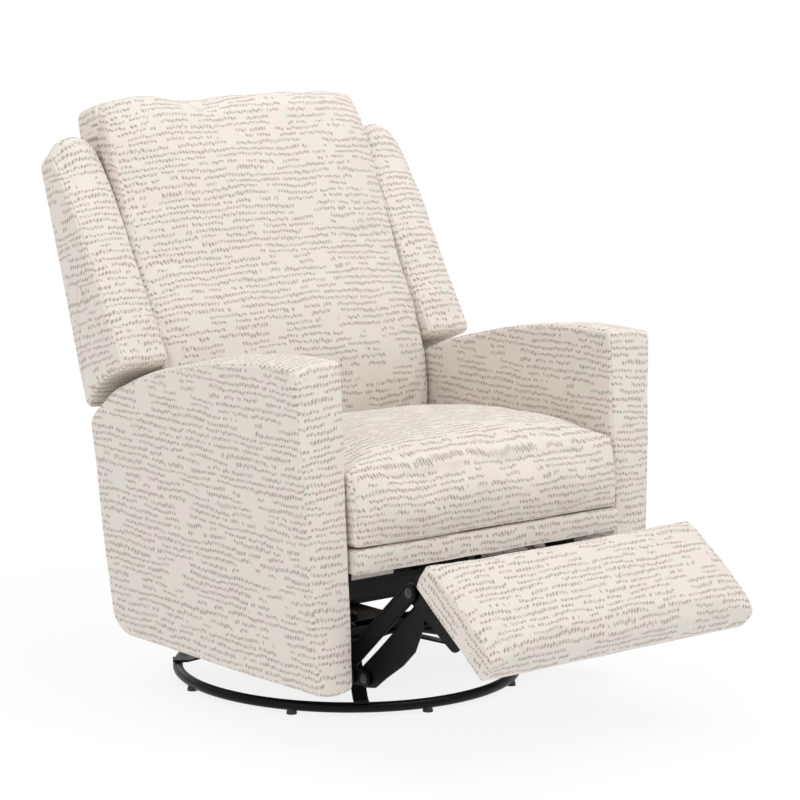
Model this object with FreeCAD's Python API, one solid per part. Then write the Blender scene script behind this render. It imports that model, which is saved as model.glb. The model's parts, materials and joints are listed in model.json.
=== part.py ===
import FreeCAD, Part
import math
import os

V = FreeCAD.Vector

# Swivel glider recliner with its footrest part-way out.
# Millimetres. Origin on the floor under the swivel axis, +Z up, sitter faces -Y, +X is the sitter's left.
# Heights are drawn from a datum under the floor, and main() moves each piece down to stand on the floor.
# A pair of numbers is a place (y, z) in a plane across the chair. Left and right are the sitter's.

# Overall sizes
ARM_OUT_TOP = 400.0
ARM_OUT_FOOT = 370.0
ARM_IN = 300.0
BODY_FLOOR_GAP = 100.0
SEAT_HALF = 296.5
X_AXIS = V(1, 0, 0)
Y_AXIS = V(0, 1, 0)
Z_AXIS = V(0, 0, 1)

# Base ring and swivel
FLOOR_Z = 10.0
RING_R = 303.0
RING_TUBE_R = 9.0
RING_Z = 25.0
FOOT_R = 9.0
FOOT_STEM_R = 6.0
FOOT_RIM = 2.5
SPOKE_ANGLE = 55.0
SPOKE_W = 26.0
SPOKE_T = 4.0
HUB_R = 80.0
HUB_Z = 86.0
RACE_Z = 90.0
BALL_Z = 97.0
BALL_R = 4.0
BALL_RING_R = 58.0
BALL_COUNT = 12
UPPER_RACE_Z = 99.5
SWIVEL_PLATE_Z = 103.0
SWIVEL_PLATE_T = 4.0
KINGPIN_R = 12.0
RUN = 0.06
FIXED = 0.02

# Glide linkage, the chair hangs on four short links
GLIDE_Y = 95.0
GLIDE_TOP_Z = 205.0
GLIDE_LINK = 80.0
GLIDE_LOW_Z = GLIDE_TOP_Z - GLIDE_LINK
UPRIGHT_X = (214.0, 218.0)
GLIDE_LINK_X = (219.0, 223.0)
GLIDE_PLATE_X = (224.0, 228.0)
GLIDE_PIN_R = 6.0
GLIDE_OPEN_PLAY = 0.4
TUBE = 25.0
TUBE_Z = 226.0
TUBE_Y = (-72.0, 108.0)

# Footrest mechanism, side view, with the footrest part-way out
DRIVE_PIVOT = (-205.0, 272.0)
KNEE = (-309.0, 107.5)
GUIDE_PIVOT = (-247.0, 280.0)
GUIDE_JOINT = (-343.0, 116.0)
GUIDE_SLOT = (-343.5, 117.2)
GUIDE_END = (-378.0, 118.5)
PLATE_X = (288.0, 292.0)
DRIVE_X = (283.0, 286.0)
LIFT_X = (278.0, 281.0)
GUIDE_X = (273.0, 276.0)
CONTROL_X = (268.0, 271.0)
PIVOT_R = 5.0
GUIDE_PLAY = 1.7
CONTROL_PLAY = 0.7
HEAD_R = 8.5
HEAD_T = 1.5
RIB_H = 1.2
TORQUE_TUBE_R = 10.0
SPRING_STUD = (-224.1, 224.9)
SPRING_HOOK = (-140.0, 262.0)
SPRING_X = 259.0
SPRING_PIN_R = 3.0
SPRING_PIN_END = SPRING_X - 5.0
SPRING_EYE_R = 4.4
SPRING_WIRE_R = 1.15
SPRING_R = 4.6
SPRING_TURNS = 18
SPRING_LEAD = 12.0

# Footrest pad, in its own frame: s runs down the slope from the inner edge, t stands out of its face
PAD_ORIGIN = (-549.0, 340.5)
PAD_SLOPE = 38.0
PAD_LENGTH = 210.0
PAD_HALF = 296.5
PAD_T = 38.0
PAD_CROWN = 14.0
BOARD_T = 12.0
FLANGE_T = 3.0
REST_PIVOT_ST = (-8.0, -80.0)
CONTROL_ST = (18.0, -63.0)
CONTROL_R = 9.0
CONTROL_END_R = 14.0
CONTROL_BELLY = ((-372, 101), (-400, 106), (-428, 128), (-468, 156), (-497, 184), (-514, 222), (-521, 262))
CONTROL_BACK = ((-506, 272), (-452, 214), (-408, 172), (-366, 134))

# Seat
SEAT_FRONT = -382.0
SEAT_REAR = 99.0
CUSHION_LOW = 333.0
RAIL_LOW = 292.0
RAIL_TOP = 328.0
RAIL_X = (240.0, 262.0)
STUDS = ((-115.0, 300.0), (45.0, 300.0))
STUD_R = 6.0
ADVANCE = 28.0
ADVANCE_RISE = 6.0
SIDE_X = (295.0, 299.0)
ARM_BOLTS = ((-150.0, 245.0), (-30.0, 240.0), (75.0, 240.0), (100.0, 310.0))
ARM_BOLT_R = 4.0

# Back, in its own frame: behind its rear face is +y, up along it is +z
LEAN = 18.67
BACK_ORIGIN = (238.0, 484.0)
BACK_PIVOT = (130.0, 300.0)
BACK_PIVOT_R = 7.0
POST_X = (262.0, 288.0)
FRAME_V = (-34.0, -8.5)
BACK_LOW = -190.0
FRAME_TOP = 500.0
SHELL_TOP = 545.0
WIRE_R = 1.9

# Release latch in the inner face of the right arm
LATCH_Y = -110.0
LATCH_Z = 520.0
LATCH_HALF = 28.0
LATCH_HINGE_Z = 503.0


# General shapes

def box(x, y, z):
    """A block between two limits on each axis."""
    return Part.makeBox(x[1] - x[0], y[1] - y[0], z[1] - z[0], V(x[0], y[0], z[0]))


def sorted_pair(a, b):
    return (min(a, b), max(a, b))


def both_sides(shape):
    """The shape and its mirror image, as two solids."""
    return [shape, shape.mirror(V(0, 0, 0), X_AXIS)]


def rod_x(place, x, radius):
    """A round bar along X at (y, z)."""
    return Part.makeCylinder(radius, x[1] - x[0], V(x[0], place[0], place[1]), X_AXIS)


def polygon_x(points, x):
    """A flat plate across the chair from an outline of (y, z) points."""
    corners = [V(x[0], y, z) for y, z in points]
    wire = Part.makePolygon(corners + [corners[0]])
    return Part.Face(wire).extrude(V(x[1] - x[0], 0, 0))


def bar_x(start, end, half_width, x):
    """A flat link with round ends between two pivots."""
    run = math.dist(start, end)
    along = ((end[0] - start[0]) / run, (end[1] - start[1]) / run)
    side = (-along[1] * half_width, along[0] * half_width)
    corners = [
        (start[0] + side[0], start[1] + side[1]),
        (end[0] + side[0], end[1] + side[1]),
        (end[0] - side[0], end[1] - side[1]),
        (start[0] - side[0], start[1] - side[1]),
    ]
    body = polygon_x(corners, x)
    ends = [rod_x(start, x, half_width), rod_x(end, x, half_width)]
    return body.fuse(ends).removeSplitter()


def pressed_rib(start, end, half_width, x):
    """The raised rim of a stamped link, on its outer face."""
    band = (x[1], x[1] + RIB_H)
    outer = bar_x(start, end, half_width - 2.5, band)
    inner = bar_x(start, end, half_width - 5.0, band)
    return outer.cut(inner)


def link(points, half_width, x, holes, ribbed=False):
    """A stamped link through two or three pivots, with its holes as (place, radius)."""
    shape = bar_x(points[0], points[1], half_width, x)
    if len(points) > 2:
        shape = shape.fuse(bar_x(points[1], points[2], half_width, x)).removeSplitter()
    if ribbed:
        shape = shape.fuse(pressed_rib(points[0], points[1], half_width, x)).removeSplitter()
    for place, radius in holes:
        shape = shape.cut(rod_x(place, (x[0] - 1, x[1] + RIB_H + 1), radius))
    return shape


def rivet(place, x, radius=PIVOT_R, head=HEAD_R):
    """A rivet with a flat head at each end, its shank between the two x values."""
    shank = rod_x(place, (x[0] - HEAD_T, x[1] + HEAD_T), radius)
    heads = [rod_x(place, (x[0] - HEAD_T, x[0]), head), rod_x(place, (x[1], x[1] + HEAD_T), head)]
    return shank.fuse(heads).removeSplitter()


def edge(a, b):
    return Part.LineSegment(a, b).toShape()


def arc(a, middle, b):
    return Part.Arc(a, middle, b).toShape()


def section(x, points, kinds):
    """A closed outline at one x: each side is a line, or an arc through a middle point."""
    sides = []
    at = 0
    for kind in kinds:
        if kind == "arc":
            a, m, b = (V(x, *points[(at + k) % len(points)]) for k in range(3))
            sides.append(arc(a, m, b))
            at += 2
        else:
            a, b = (V(x, *points[(at + k) % len(points)]) for k in range(2))
            sides.append(edge(a, b))
            at += 1
    return Part.Wire(sides)


def wire_tube(path, radius, start, direction):
    """A round wire swept along a path of lines and arcs."""
    ring = Part.Wire([Part.makeCircle(radius, start, direction)])
    return Part.Wire(path).makePipeShell([ring], True, False)


def sinuous_wire(x0, y0, y1, half_span, bend_r):
    """A zigzag spring wire lying in the XY plane from y0 to y1."""
    rows = int((y1 - y0) / (2 * bend_r)) - 1
    lead = (y1 - y0 - 2 * bend_r * rows) / 2
    side = 1.0
    reach = half_span - bend_r
    start = V(x0, y0, 0)
    first = y0 + lead
    bend = V(x0, first - bend_r, 0)
    here = V(x0 + reach, first, 0)
    # the first and last rows are half rows that join the straight leads
    path = [edge(start, bend)]
    path.append(quarter(bend, V(x0 + bend_r, first, 0), Y_AXIS))
    path.append(edge(V(x0 + bend_r, first, 0), here))
    for row in range(rows):
        there = V(here.x, here.y + 2 * bend_r, 0)
        middle = V(here.x + side * bend_r, here.y + bend_r, 0)
        path.append(arc(here, middle, there))
        side = -side
        last = row == rows - 1
        end_x = x0 - side * bend_r if last else x0 + side * reach
        here = V(end_x, there.y, 0)
        path.append(edge(there, here))
    finish = V(x0, here.y + bend_r, 0)
    path.append(quarter(here, finish, V(side, 0, 0)))
    path.append(edge(finish, V(x0, y1, 0)))
    return wire_tube(path, WIRE_R, start, Y_AXIS)


def quarter(a, b, direction):
    """A quarter turn from a to b that leaves a along the direction."""
    radius = abs(b.x - a.x)
    centre = V(b.x, a.y, 0) if abs(direction.y) > 0.5 else V(a.x, b.y, 0)
    middle = (a + b) * 0.5 - centre
    middle.normalize()
    return arc(a, centre + middle * radius, b)


def coil(start, end):
    """An extension spring between two pins: an eye round each, and turns drawn as half-turn arcs."""
    axis = end - start
    length = axis.Length
    axis.normalize()
    side = axis.cross(X_AXIS)
    pitch = (length - 2 * SPRING_LEAD) / SPRING_TURNS

    def at(turn):
        angle = 2 * math.pi * turn
        centre = start + axis * (SPRING_LEAD + pitch * turn)
        return centre + X_AXIS * (SPRING_R * math.cos(angle)) + side * (SPRING_R * math.sin(angle))

    path = [arc(at(k / 2), at(k / 2 + 0.25), at(k / 2 + 0.5)) for k in range(2 * SPRING_TURNS)]
    first = path[0].tangentAt(path[0].FirstParameter)
    body = wire_tube(path, SPRING_WIRE_R, at(0), first)
    hooks = []
    for pin, inwards, place in ((start, axis, at(0)), (end, axis * -1, at(SPRING_TURNS))):
        tip = pin + inwards * SPRING_EYE_R
        run = place - tip
        hooks.append(Part.makeCylinder(SPRING_WIRE_R, run.Length, tip, run))
        hooks.append(Part.makeTorus(SPRING_EYE_R, SPRING_WIRE_R, pin, X_AXIS))
    return body.fuse(hooks)


# Base and swivel

def base_ring():
    return Part.makeTorus(RING_R, RING_TUBE_R, V(0, 0, RING_Z))


def base_feet():
    """Glides under the ring, one each side of every spoke."""
    ring = base_ring()
    feet = []
    for k in range(8):
        angle = math.radians(SPOKE_ANGLE + 22.5 + 45 * k)
        centre = V(RING_R * math.cos(angle), RING_R * math.sin(angle), FLOOR_Z)
        foot = Part.makeCylinder(FOOT_R, FOOT_RIM, centre)
        dome = Part.makeCone(FOOT_R, FOOT_STEM_R, RING_Z - FLOOR_Z - FOOT_RIM, centre + V(0, 0, FOOT_RIM))
        feet.append(foot.fuse(dome).removeSplitter().cut(ring))
    return Part.makeCompound(feet)


def base_spokes():
    """Four flat straps that climb from the ring to the hub."""
    low, high = RING_Z + RING_TUBE_R, HUB_Z
    outline = [
        (RING_R + 9, low), (RING_R - 17, low), (HUB_R + 2, high - SPOKE_T), (30, high - SPOKE_T),
        (30, high), (HUB_R + 1, high), (RING_R - 18, low + SPOKE_T), (RING_R + 9, low + SPOKE_T),
    ]
    half = SPOKE_W / 2
    strap = polygon_x(outline, (-half, half))
    straps = []
    for k in range(4):
        turned = strap.copy()
        turned.rotate(V(0, 0, 0), Z_AXIS, SPOKE_ANGLE + 90 * k - 90)
        straps.append(turned)
    return Part.makeCompound(straps)


def disc(radius, hole, z0, z1):
    ring = Part.makeCylinder(radius, z1 - z0, V(0, 0, z0))
    return ring.cut(Part.makeCylinder(hole, z1 - z0 + 2, V(0, 0, z0 - 1)))


def base_hub():
    return disc(HUB_R, KINGPIN_R + FIXED, HUB_Z, RACE_Z)


def ball_groove():
    return Part.makeTorus(BALL_RING_R, BALL_R + 0.25, V(0, 0, BALL_Z))


def lower_race():
    return disc(HUB_R - 2, KINGPIN_R + FIXED, RACE_Z, BALL_Z - 2.5).cut(ball_groove())


def upper_race():
    return disc(HUB_R - 2, KINGPIN_R + RUN, UPPER_RACE_Z, SWIVEL_PLATE_Z).cut(ball_groove())


def ball_places():
    turn = 2 * math.pi / BALL_COUNT
    return [
        V(BALL_RING_R * math.cos(turn * k), BALL_RING_R * math.sin(turn * k), BALL_Z)
        for k in range(BALL_COUNT)
    ]


def bearing_balls():
    return Part.makeCompound([Part.makeSphere(BALL_R, place) for place in ball_places()])


def ball_cage():
    """A thin ring with a pocket for each ball."""
    cage = disc(BALL_RING_R + 8, BALL_RING_R - 8, BALL_Z - 1.6, BALL_Z + 1.6)
    for place in ball_places():
        pocket = Part.makeCylinder(BALL_R + 0.05, 8, place - V(0, 0, 4))
        cage = cage.cut(pocket)
    return cage


def kingpin():
    """The swivel bolt, its head under the hub and its nut over the swivel plate."""
    top = SWIVEL_PLATE_Z + SWIVEL_PLATE_T
    head = Part.makeCylinder(18, 6, V(0, 0, HUB_Z - 6))
    shank = Part.makeCylinder(KINGPIN_R, top + 12 - HUB_Z, V(0, 0, HUB_Z))
    corners = [V(19 * math.cos(math.pi / 3 * k), 19 * math.sin(math.pi / 3 * k), top + 0.3) for k in range(7)]
    nut = Part.Face(Part.makePolygon(corners)).extrude(V(0, 0, 9))
    nut = nut.cut(Part.makeCylinder(KINGPIN_R, 30, V(0, 0, top - 5)))
    return Part.makeCompound([head.fuse(shank).removeSplitter(), nut])


def swivel_plate():
    top = SWIVEL_PLATE_Z + SWIVEL_PLATE_T
    plate = box((-92, 92), (-125, 125), (SWIVEL_PLATE_Z, top))
    return plate.cut(Part.makeCylinder(KINGPIN_R + RUN, 20, V(0, 0, SWIVEL_PLATE_Z - 5)))


def glide_beams():
    """Two channels across the swivel plate that carry the uprights."""
    low = SWIVEL_PLATE_Z + SWIVEL_PLATE_T
    beams = []
    for y in (-GLIDE_Y, GLIDE_Y):
        outer = box((-UPRIGHT_X[0], UPRIGHT_X[0]), (y - 18, y + 18), (low, low + 16))
        groove = box((-UPRIGHT_X[0], UPRIGHT_X[0]), (y - 15, y + 15), (low + 3, low + 16))
        beams.append(outer.cut(groove))
    return Part.makeCompound(beams)


def glide_uprights():
    """Four tapered plates with the upper pivots of the glide links."""
    low = SWIVEL_PLATE_Z + SWIVEL_PLATE_T
    plates = []
    for y in (-GLIDE_Y, GLIDE_Y):
        foot = polygon_x([(y - 28, low), (y + 28, low), (y + 13, GLIDE_TOP_Z), (y - 13, GLIDE_TOP_Z)], UPRIGHT_X)
        plate = foot.fuse(rod_x((y, GLIDE_TOP_Z), UPRIGHT_X, 13)).removeSplitter()
        plate = plate.cut(rod_x((y, GLIDE_TOP_Z), (UPRIGHT_X[0] - 1, UPRIGHT_X[1] + 1), GLIDE_PIN_R + FIXED))
        plates += both_sides(plate)
    return Part.makeCompound(plates)


def glide_upper_pins():
    pins = []
    for y in (-GLIDE_Y, GLIDE_Y):
        shank = rod_x((y, GLIDE_TOP_Z), (UPRIGHT_X[0] - 3, GLIDE_LINK_X[1] + 0.5), GLIDE_PIN_R)
        head = rod_x((y, GLIDE_TOP_Z), (UPRIGHT_X[0] - 3, UPRIGHT_X[0]), 10)
        pins += both_sides(shank.fuse(head).removeSplitter())
    return Part.makeCompound(pins)


def glide_links(y, play):
    """The left and right hanging links at one end of the chair."""
    holes = [((y, GLIDE_TOP_Z), GLIDE_PIN_R + RUN), ((y, GLIDE_LOW_Z), GLIDE_PIN_R + play)]
    plate = link([(y, GLIDE_TOP_Z), (y, GLIDE_LOW_Z)], 14, GLIDE_LINK_X, holes)
    return Part.makeCompound(both_sides(plate))


# Carriage, the body that glides

def glide_plates():
    """Side plates that hang on the links and carry the cross tubes."""
    outline = [(-138, 112), (138, 112), (138, TUBE_Z - 60), (TUBE_Y[1] + TUBE, TUBE_Z), (TUBE_Y[0], TUBE_Z), (-138, 150)]
    plate = polygon_x(outline, GLIDE_PLATE_X)
    for y in (-GLIDE_Y, GLIDE_Y):
        hole = rod_x((y, GLIDE_LOW_Z), (GLIDE_PLATE_X[0] - 1, GLIDE_PLATE_X[1] + 1), GLIDE_PIN_R + FIXED)
        plate = plate.cut(hole)
    return Part.makeCompound(both_sides(plate))


def glide_lower_pins():
    pins = []
    for y in (-GLIDE_Y, GLIDE_Y):
        shank = rod_x((y, GLIDE_LOW_Z), (GLIDE_LINK_X[0] - 0.5, GLIDE_PLATE_X[1] + 3), GLIDE_PIN_R)
        head = rod_x((y, GLIDE_LOW_Z), (GLIDE_PLATE_X[1], GLIDE_PLATE_X[1] + 3), 10)
        pins += both_sides(shank.fuse(head).removeSplitter())
    return Part.makeCompound(pins)


def carriage_tubes():
    """Two square cross tubes between the side plates."""
    tubes = []
    for y in TUBE_Y:
        outer = box((-SIDE_X[0], SIDE_X[0]), (y, y + TUBE), (TUBE_Z, TUBE_Z + TUBE))
        inner = box((-SIDE_X[0], SIDE_X[0]), (y + 2, y + TUBE - 2), (TUBE_Z + 2, TUBE_Z + TUBE - 2))
        tubes.append(outer.cut(inner))
    return Part.makeCompound(tubes)


def advance_vector(length):
    """Forward and slightly up, the way the seat moves as the back reclines."""
    rise = math.radians(ADVANCE_RISE)
    return (-length * math.cos(rise), length * math.sin(rise))


def side_plates():
    """Steel plates on the arms, with the seat's guide slots and the back's pivot."""
    outline = [(-172, 252), (-150, 222), (146, 222), (152, 300), (140, 322), (-172, 326)]
    plate = polygon_x(outline, SIDE_X)
    cutter = (SIDE_X[0] - 1, SIDE_X[1] + 1)
    for stud in STUDS:
        step = advance_vector(ADVANCE + 0.5)
        back = advance_vector(-0.5)
        start = (stud[0] + back[0], stud[1] + back[1])
        end = (stud[0] + step[0], stud[1] + step[1])
        plate = plate.cut(bar_x(start, end, STUD_R + RUN, cutter))
    plate = plate.cut(rod_x(BACK_PIVOT, cutter, BACK_PIVOT_R + FIXED))
    for place in ARM_BOLTS:
        plate = plate.cut(rod_x(place, cutter, ARM_BOLT_R + RUN))
    return Part.makeCompound(both_sides(plate))


def back_pivot_pins():
    shank = rod_x(BACK_PIVOT, (PLATE_X[0] - 0.5, SIDE_X[1]), BACK_PIVOT_R)
    head = rod_x(BACK_PIVOT, (PLATE_X[0] - 3, PLATE_X[0] - 0.5), 11)
    washer = rod_x(BACK_PIVOT, (PLATE_X[1] + 0.5, SIDE_X[0]), 12)
    return Part.makeCompound(both_sides(shank.fuse([head, washer]).removeSplitter()))


def arm_bolts():
    """Bolts through the side plates into the boards in the arms."""
    bolts = []
    for place in ARM_BOLTS:
        shank = rod_x(place, (SIDE_X[0], 342), ARM_BOLT_R)
        head = rod_x(place, (SIDE_X[0] - 2.5, SIDE_X[0]), 7)
        bolts += both_sides(shank.fuse(head).removeSplitter())
    return Part.makeCompound(bolts)


ARM_OUTLINE = (
    (-332, 640), (-60, 614), (160, 546), (212, 520), (238, 484), (203, 133), (186, 106), (150, 90),
    (-384, 90), (-347, 620), (-343, 635),
)
ARM_SIDES = ("arc", "arc", "line", "arc", "line", "line", "arc")
ARM_TOP_FALL = 9.0


def arm_wedge():
    """The room that an arm may fill: above its hem, and inside its flared outer face."""
    z0, z1 = BODY_FLOOR_GAP, 700.0
    flare = (ARM_OUT_TOP - ARM_OUT_FOOT) / 525.0
    corners = [(ARM_IN, z0), (ARM_OUT_FOOT, z0), (ARM_OUT_FOOT + flare * (z1 - z0), z1), (ARM_IN, z1)]
    wire = Part.makePolygon([V(x, -500, z) for x, z in corners + corners[:1]])
    return Part.Face(wire).extrude(V(0, 900, 0))


BOARD_OUTLINE = ((-340, 100), (-325, 565), (40, 545), (175, 480), (175, 140), (150, 100))


def arm_board():
    """The plywood inside an arm."""
    return polygon_x(BOARD_OUTLINE, (330, 348))


def arm():
    """A padded arm: its top falls to the rear and outwards, and it has a slot for its board."""
    side = Part.Face(section(ARM_IN, ARM_OUTLINE, ARM_SIDES))
    solid = side.extrude(V(ARM_OUT_TOP - ARM_IN, 0, -ARM_TOP_FALL)).common(arm_wedge())
    return solid.cut(polygon_x(BOARD_OUTLINE, (330, 348))).Solids[0]


def lower_back_panel():
    """The fixed panel between the arms, under the moving back."""
    panel = box((-299.5, 299.5), (196, 222), (BODY_FLOOR_GAP + 4, 268))
    return panel.makeFillet(6, [e for e in panel.Edges if e.BoundBox.ZMin > 260 and e.Length > 500])


# Release latch

def latch_cup():
    """A moulded cup with a flange, let into the inner face of the right arm."""
    face = -ARM_IN
    mouth = (LATCH_Y - 36, LATCH_Y + 36)
    tall = (LATCH_Z - LATCH_HALF, LATCH_Z + LATCH_HALF)
    outer = box((face - 25, face), mouth, tall)
    flange = box((face, face + 2), (mouth[0] - 6, mouth[1] + 6), (tall[0] - 6, tall[1] + 6))
    hollow = box((face - 23, face + 3), (mouth[0] + 2, mouth[1] - 2), (tall[0] + 2, tall[1] - 2))
    cup = outer.fuse(flange).removeSplitter().cut(hollow)
    for y in (mouth[0] + 1, mouth[1] - 1):
        cup = cup.cut(Part.makeCylinder(2.06, 6, V(face - 5, y - 3, LATCH_HINGE_Z), Y_AXIS))
    return cup


def release_lever():
    """A finger pull on two short trunnions, standing in the mouth of the cup."""
    face = -ARM_IN
    low = LATCH_HINGE_Z
    plate = box((face - 7, face - 3), (LATCH_Y - 33, LATCH_Y + 33), (low - 4, low + 24))
    lip = box((face - 7, face + 1), (LATCH_Y - 24, LATCH_Y + 24), (low + 21, low + 24))
    trunnions = Part.makeCylinder(2, 70, V(face - 5, LATCH_Y - 35, low), Y_AXIS)
    return plate.fuse([lip, trunnions]).removeSplitter()


PAWL_PIVOT = (-95.0, 264.0)
PAWL_PLATE_X = (-252.0, -248.0)
PAWL_X = (-246.0, -242.0)
CABLE_X = (-312.0, -238.0)
CABLE_Z = (LATCH_Z - LATCH_HALF, 188.0, 236.0)
CABLE_BEND = 26.0
CABLE_R = 2.5


def cable_path():
    """Down inside the arm, under the side plate, and up to the pawl."""
    x0, x1 = CABLE_X
    top, low, end = CABLE_Z
    r = CABLE_BEND
    k = r * (1 - math.sqrt(0.5))
    y = LATCH_Y
    return [
        edge(V(x0, y, top), V(x0, y, low + r)),
        arc(V(x0, y, low + r), V(x0 + k, y, low + k), V(x0 + r, y, low)),
        edge(V(x0 + r, y, low), V(x1 - r, y, low)),
        arc(V(x1 - r, y, low), V(x1 - k, y, low + k), V(x1, y, low + r)),
        edge(V(x1, y, low + r), V(x1, y, end)),
    ]


def release_cable():
    start = V(CABLE_X[0], LATCH_Y, CABLE_Z[0])
    return wire_tube(cable_path(), CABLE_R, start, Z_AXIS)


def cable_bore():
    start = V(CABLE_X[0], LATCH_Y, CABLE_Z[0])
    return wire_tube(cable_path(), CABLE_R + 0.7, start, Z_AXIS)


def pawl_bracket():
    """A plate on the front cross tube that holds the pawl and the end of the cable."""
    plate = polygon_x([(-72, 226), (-118, 226), (-118, 244), (-104, 276), (-86, 276), (-72, 251)], PAWL_PLATE_X)
    ear = box((PAWL_PLATE_X[1], CABLE_X[1] + 6), (-118, -102), (236, 239))
    hole = rod_x(PAWL_PIVOT, (PAWL_PLATE_X[0] - 1, PAWL_PLATE_X[1] + 1), 4 + RUN)
    return plate.fuse(ear).removeSplitter().cut(hole)


def lock_pawl():
    """The catch that the cable lifts clear of the torque tube."""
    outline = [(-84, 256), (-84, 272), (-150, 276), (-186, 284), (-190, 278), (-176, 266), (-120, 256)]
    pawl = polygon_x(outline, PAWL_X)
    pin = rod_x(PAWL_PIVOT, (PAWL_PLATE_X[0] - 2, PAWL_X[1] + 2), 4)
    return pawl.fuse(pin).removeSplitter()


# Seat

def seat_cushion():
    """A crowned box cushion whose sides draw in between its corners."""
    rings = []
    stations = ((-1.0, 14, 26), (-0.94, 4, 10), (-0.55, 1, 3), (0.0, 0, 0), (0.55, 1, 3), (0.94, 4, 10), (1.0, 14, 26))
    for share, draw, drop in stations:
        x = SEAT_HALF * share
        front = SEAT_FRONT + draw
        rear = SEAT_REAR - draw / 2
        points = [
            (front + 2, CUSHION_LOW), (front - 10, 392 - drop / 2), (front + 14, 458 - drop),
            (-140, 492 - drop), (rear - 8, 446 - drop),
            (rear, CUSHION_LOW),
        ]
        rings.append(section(x, points, ("arc", "arc", "line", "line")))
    return Part.makeLoft(rings, True, False)


def seat_front_band():
    """The covered front rail under the cushion."""
    points = [(SEAT_FRONT + 2, 290), (SEAT_FRONT - 6, 311), (SEAT_FRONT + 1, 332), (-353, 332), (-353, 290)]
    outline = section(-SEAT_HALF, points, ("arc", "line", "line", "line"))
    band = Part.Face(outline).extrude(V(2 * SEAT_HALF, 0, 0))
    notch = box((269, 286), (-379, -352), (285, 300))
    return band.cut(Part.makeCompound(both_sides(notch)))


def seat_cross_rails():
    half = RAIL_X[1]
    front = box((-half, half), (-352.5, -330), (RAIL_LOW, RAIL_TOP))
    rear = box((-half, half), (76, 96), (RAIL_LOW, RAIL_TOP))
    return Part.makeCompound([front, rear])


def seat_side_rails():
    return Part.makeCompound(both_sides(box(RAIL_X, (-330, 76), (RAIL_LOW, RAIL_TOP))))


def seat_springs():
    """Zigzag wires from the front rail to the rear one."""
    wires = []
    for k in range(5):
        wire = sinuous_wire(-176 + 88 * k, -330, 76, 30, 11)
        wire.translate(V(0, 0, 320))
        wires.append(wire)
    return Part.makeCompound(wires)


def seat_plates():
    """The mechanism's inner side plates, their top flanges screwed over the side rails."""
    outline = [(-272, 262), (-190, 256), (60, 262), (80, 290), (80, 331), (-300, 331), (-300, 290)]
    plate = polygon_x(outline, PLATE_X)
    flange = box((RAIL_X[0], PLATE_X[1]), (-300, 70), (RAIL_TOP, 331))
    plate = plate.fuse(flange).removeSplitter()
    cutter = (PLATE_X[0] - 1, PLATE_X[1] + 1)
    for place in (DRIVE_PIVOT, GUIDE_PIVOT):
        plate = plate.cut(rod_x(place, cutter, PIVOT_R + FIXED))
    return Part.makeCompound(both_sides(plate))


def seat_studs():
    """Shouldered studs that run in the guide slots."""
    studs = []
    for place in STUDS:
        shank = rod_x(place, (PLATE_X[1], SIDE_X[1]), STUD_R)
        shoulder = rod_x(place, (PLATE_X[1], SIDE_X[0] - 0.5), 10)
        studs += both_sides(shank.fuse(shoulder).removeSplitter())
    return Part.makeCompound(studs)


def seat_cross_bar():
    """The front cross bar of the mechanism and its two hangers."""
    half = RAIL_X[1]
    bar = box((-half, half), (-303, -278), (231, 256))
    bar = bar.cut(box((-half, half), (-301, -280), (233, 254)))
    hangers = [box(sorted_pair(side * 244, side * half), (-306, -303), (231, RAIL_LOW)) for side in (-1, 1)]
    feet = [box(sorted_pair(side * 244, side * half), (-306, -275), (RAIL_LOW - 3, RAIL_LOW)) for side in (-1, 1)]
    return bar.fuse(hangers + feet).removeSplitter()


def seat_pivot_pins():
    """Fixed pins for the drive links and, past two layers of links, for the guide links."""
    drive = rivet(DRIVE_PIVOT, (DRIVE_X[0], PLATE_X[1]))
    guide = rivet(GUIDE_PIVOT, (GUIDE_X[0], PLATE_X[1]))
    spacer = rod_x(GUIDE_PIVOT, (GUIDE_X[1] + 0.5, PLATE_X[0]), 7)
    hook = rod_x(SPRING_HOOK, (SPRING_PIN_END, PLATE_X[0]), SPRING_PIN_R)
    pins = both_sides(drive) + both_sides(guide.fuse(spacer).removeSplitter()) + both_sides(hook)
    return Part.makeCompound(pins)


def footrest_springs():
    """Extension springs from the drive links' studs to the seat plates' studs."""
    return Part.makeCompound(both_sides(coil(V(SPRING_X, *SPRING_STUD), V(SPRING_X, *SPRING_HOOK))))


# Footrest mechanism

def pad_place(s, t):
    """A point of the pad's own frame as (y, z)."""
    slope = math.radians(PAD_SLOPE)
    along = (-math.cos(slope), -math.sin(slope))
    out = (-math.sin(slope), math.cos(slope))
    return (
        PAD_ORIGIN[0] + s * along[0] + t * out[0],
        PAD_ORIGIN[1] + s * along[1] + t * out[1],
    )


def rest_pivot():
    return pad_place(*REST_PIVOT_ST)


def drive_links():
    """Stamped links from the seat plates to the knees, each with a stud for its spring."""
    holes = [(DRIVE_PIVOT, PIVOT_R + RUN), (KNEE, PIVOT_R + FIXED)]
    plate = link([DRIVE_PIVOT, KNEE], 13, DRIVE_X, holes)
    stud = rod_x(SPRING_STUD, (SPRING_PIN_END, DRIVE_X[0]), SPRING_PIN_R)
    return Part.makeCompound(both_sides(plate.fuse(stud).removeSplitter()))


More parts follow.
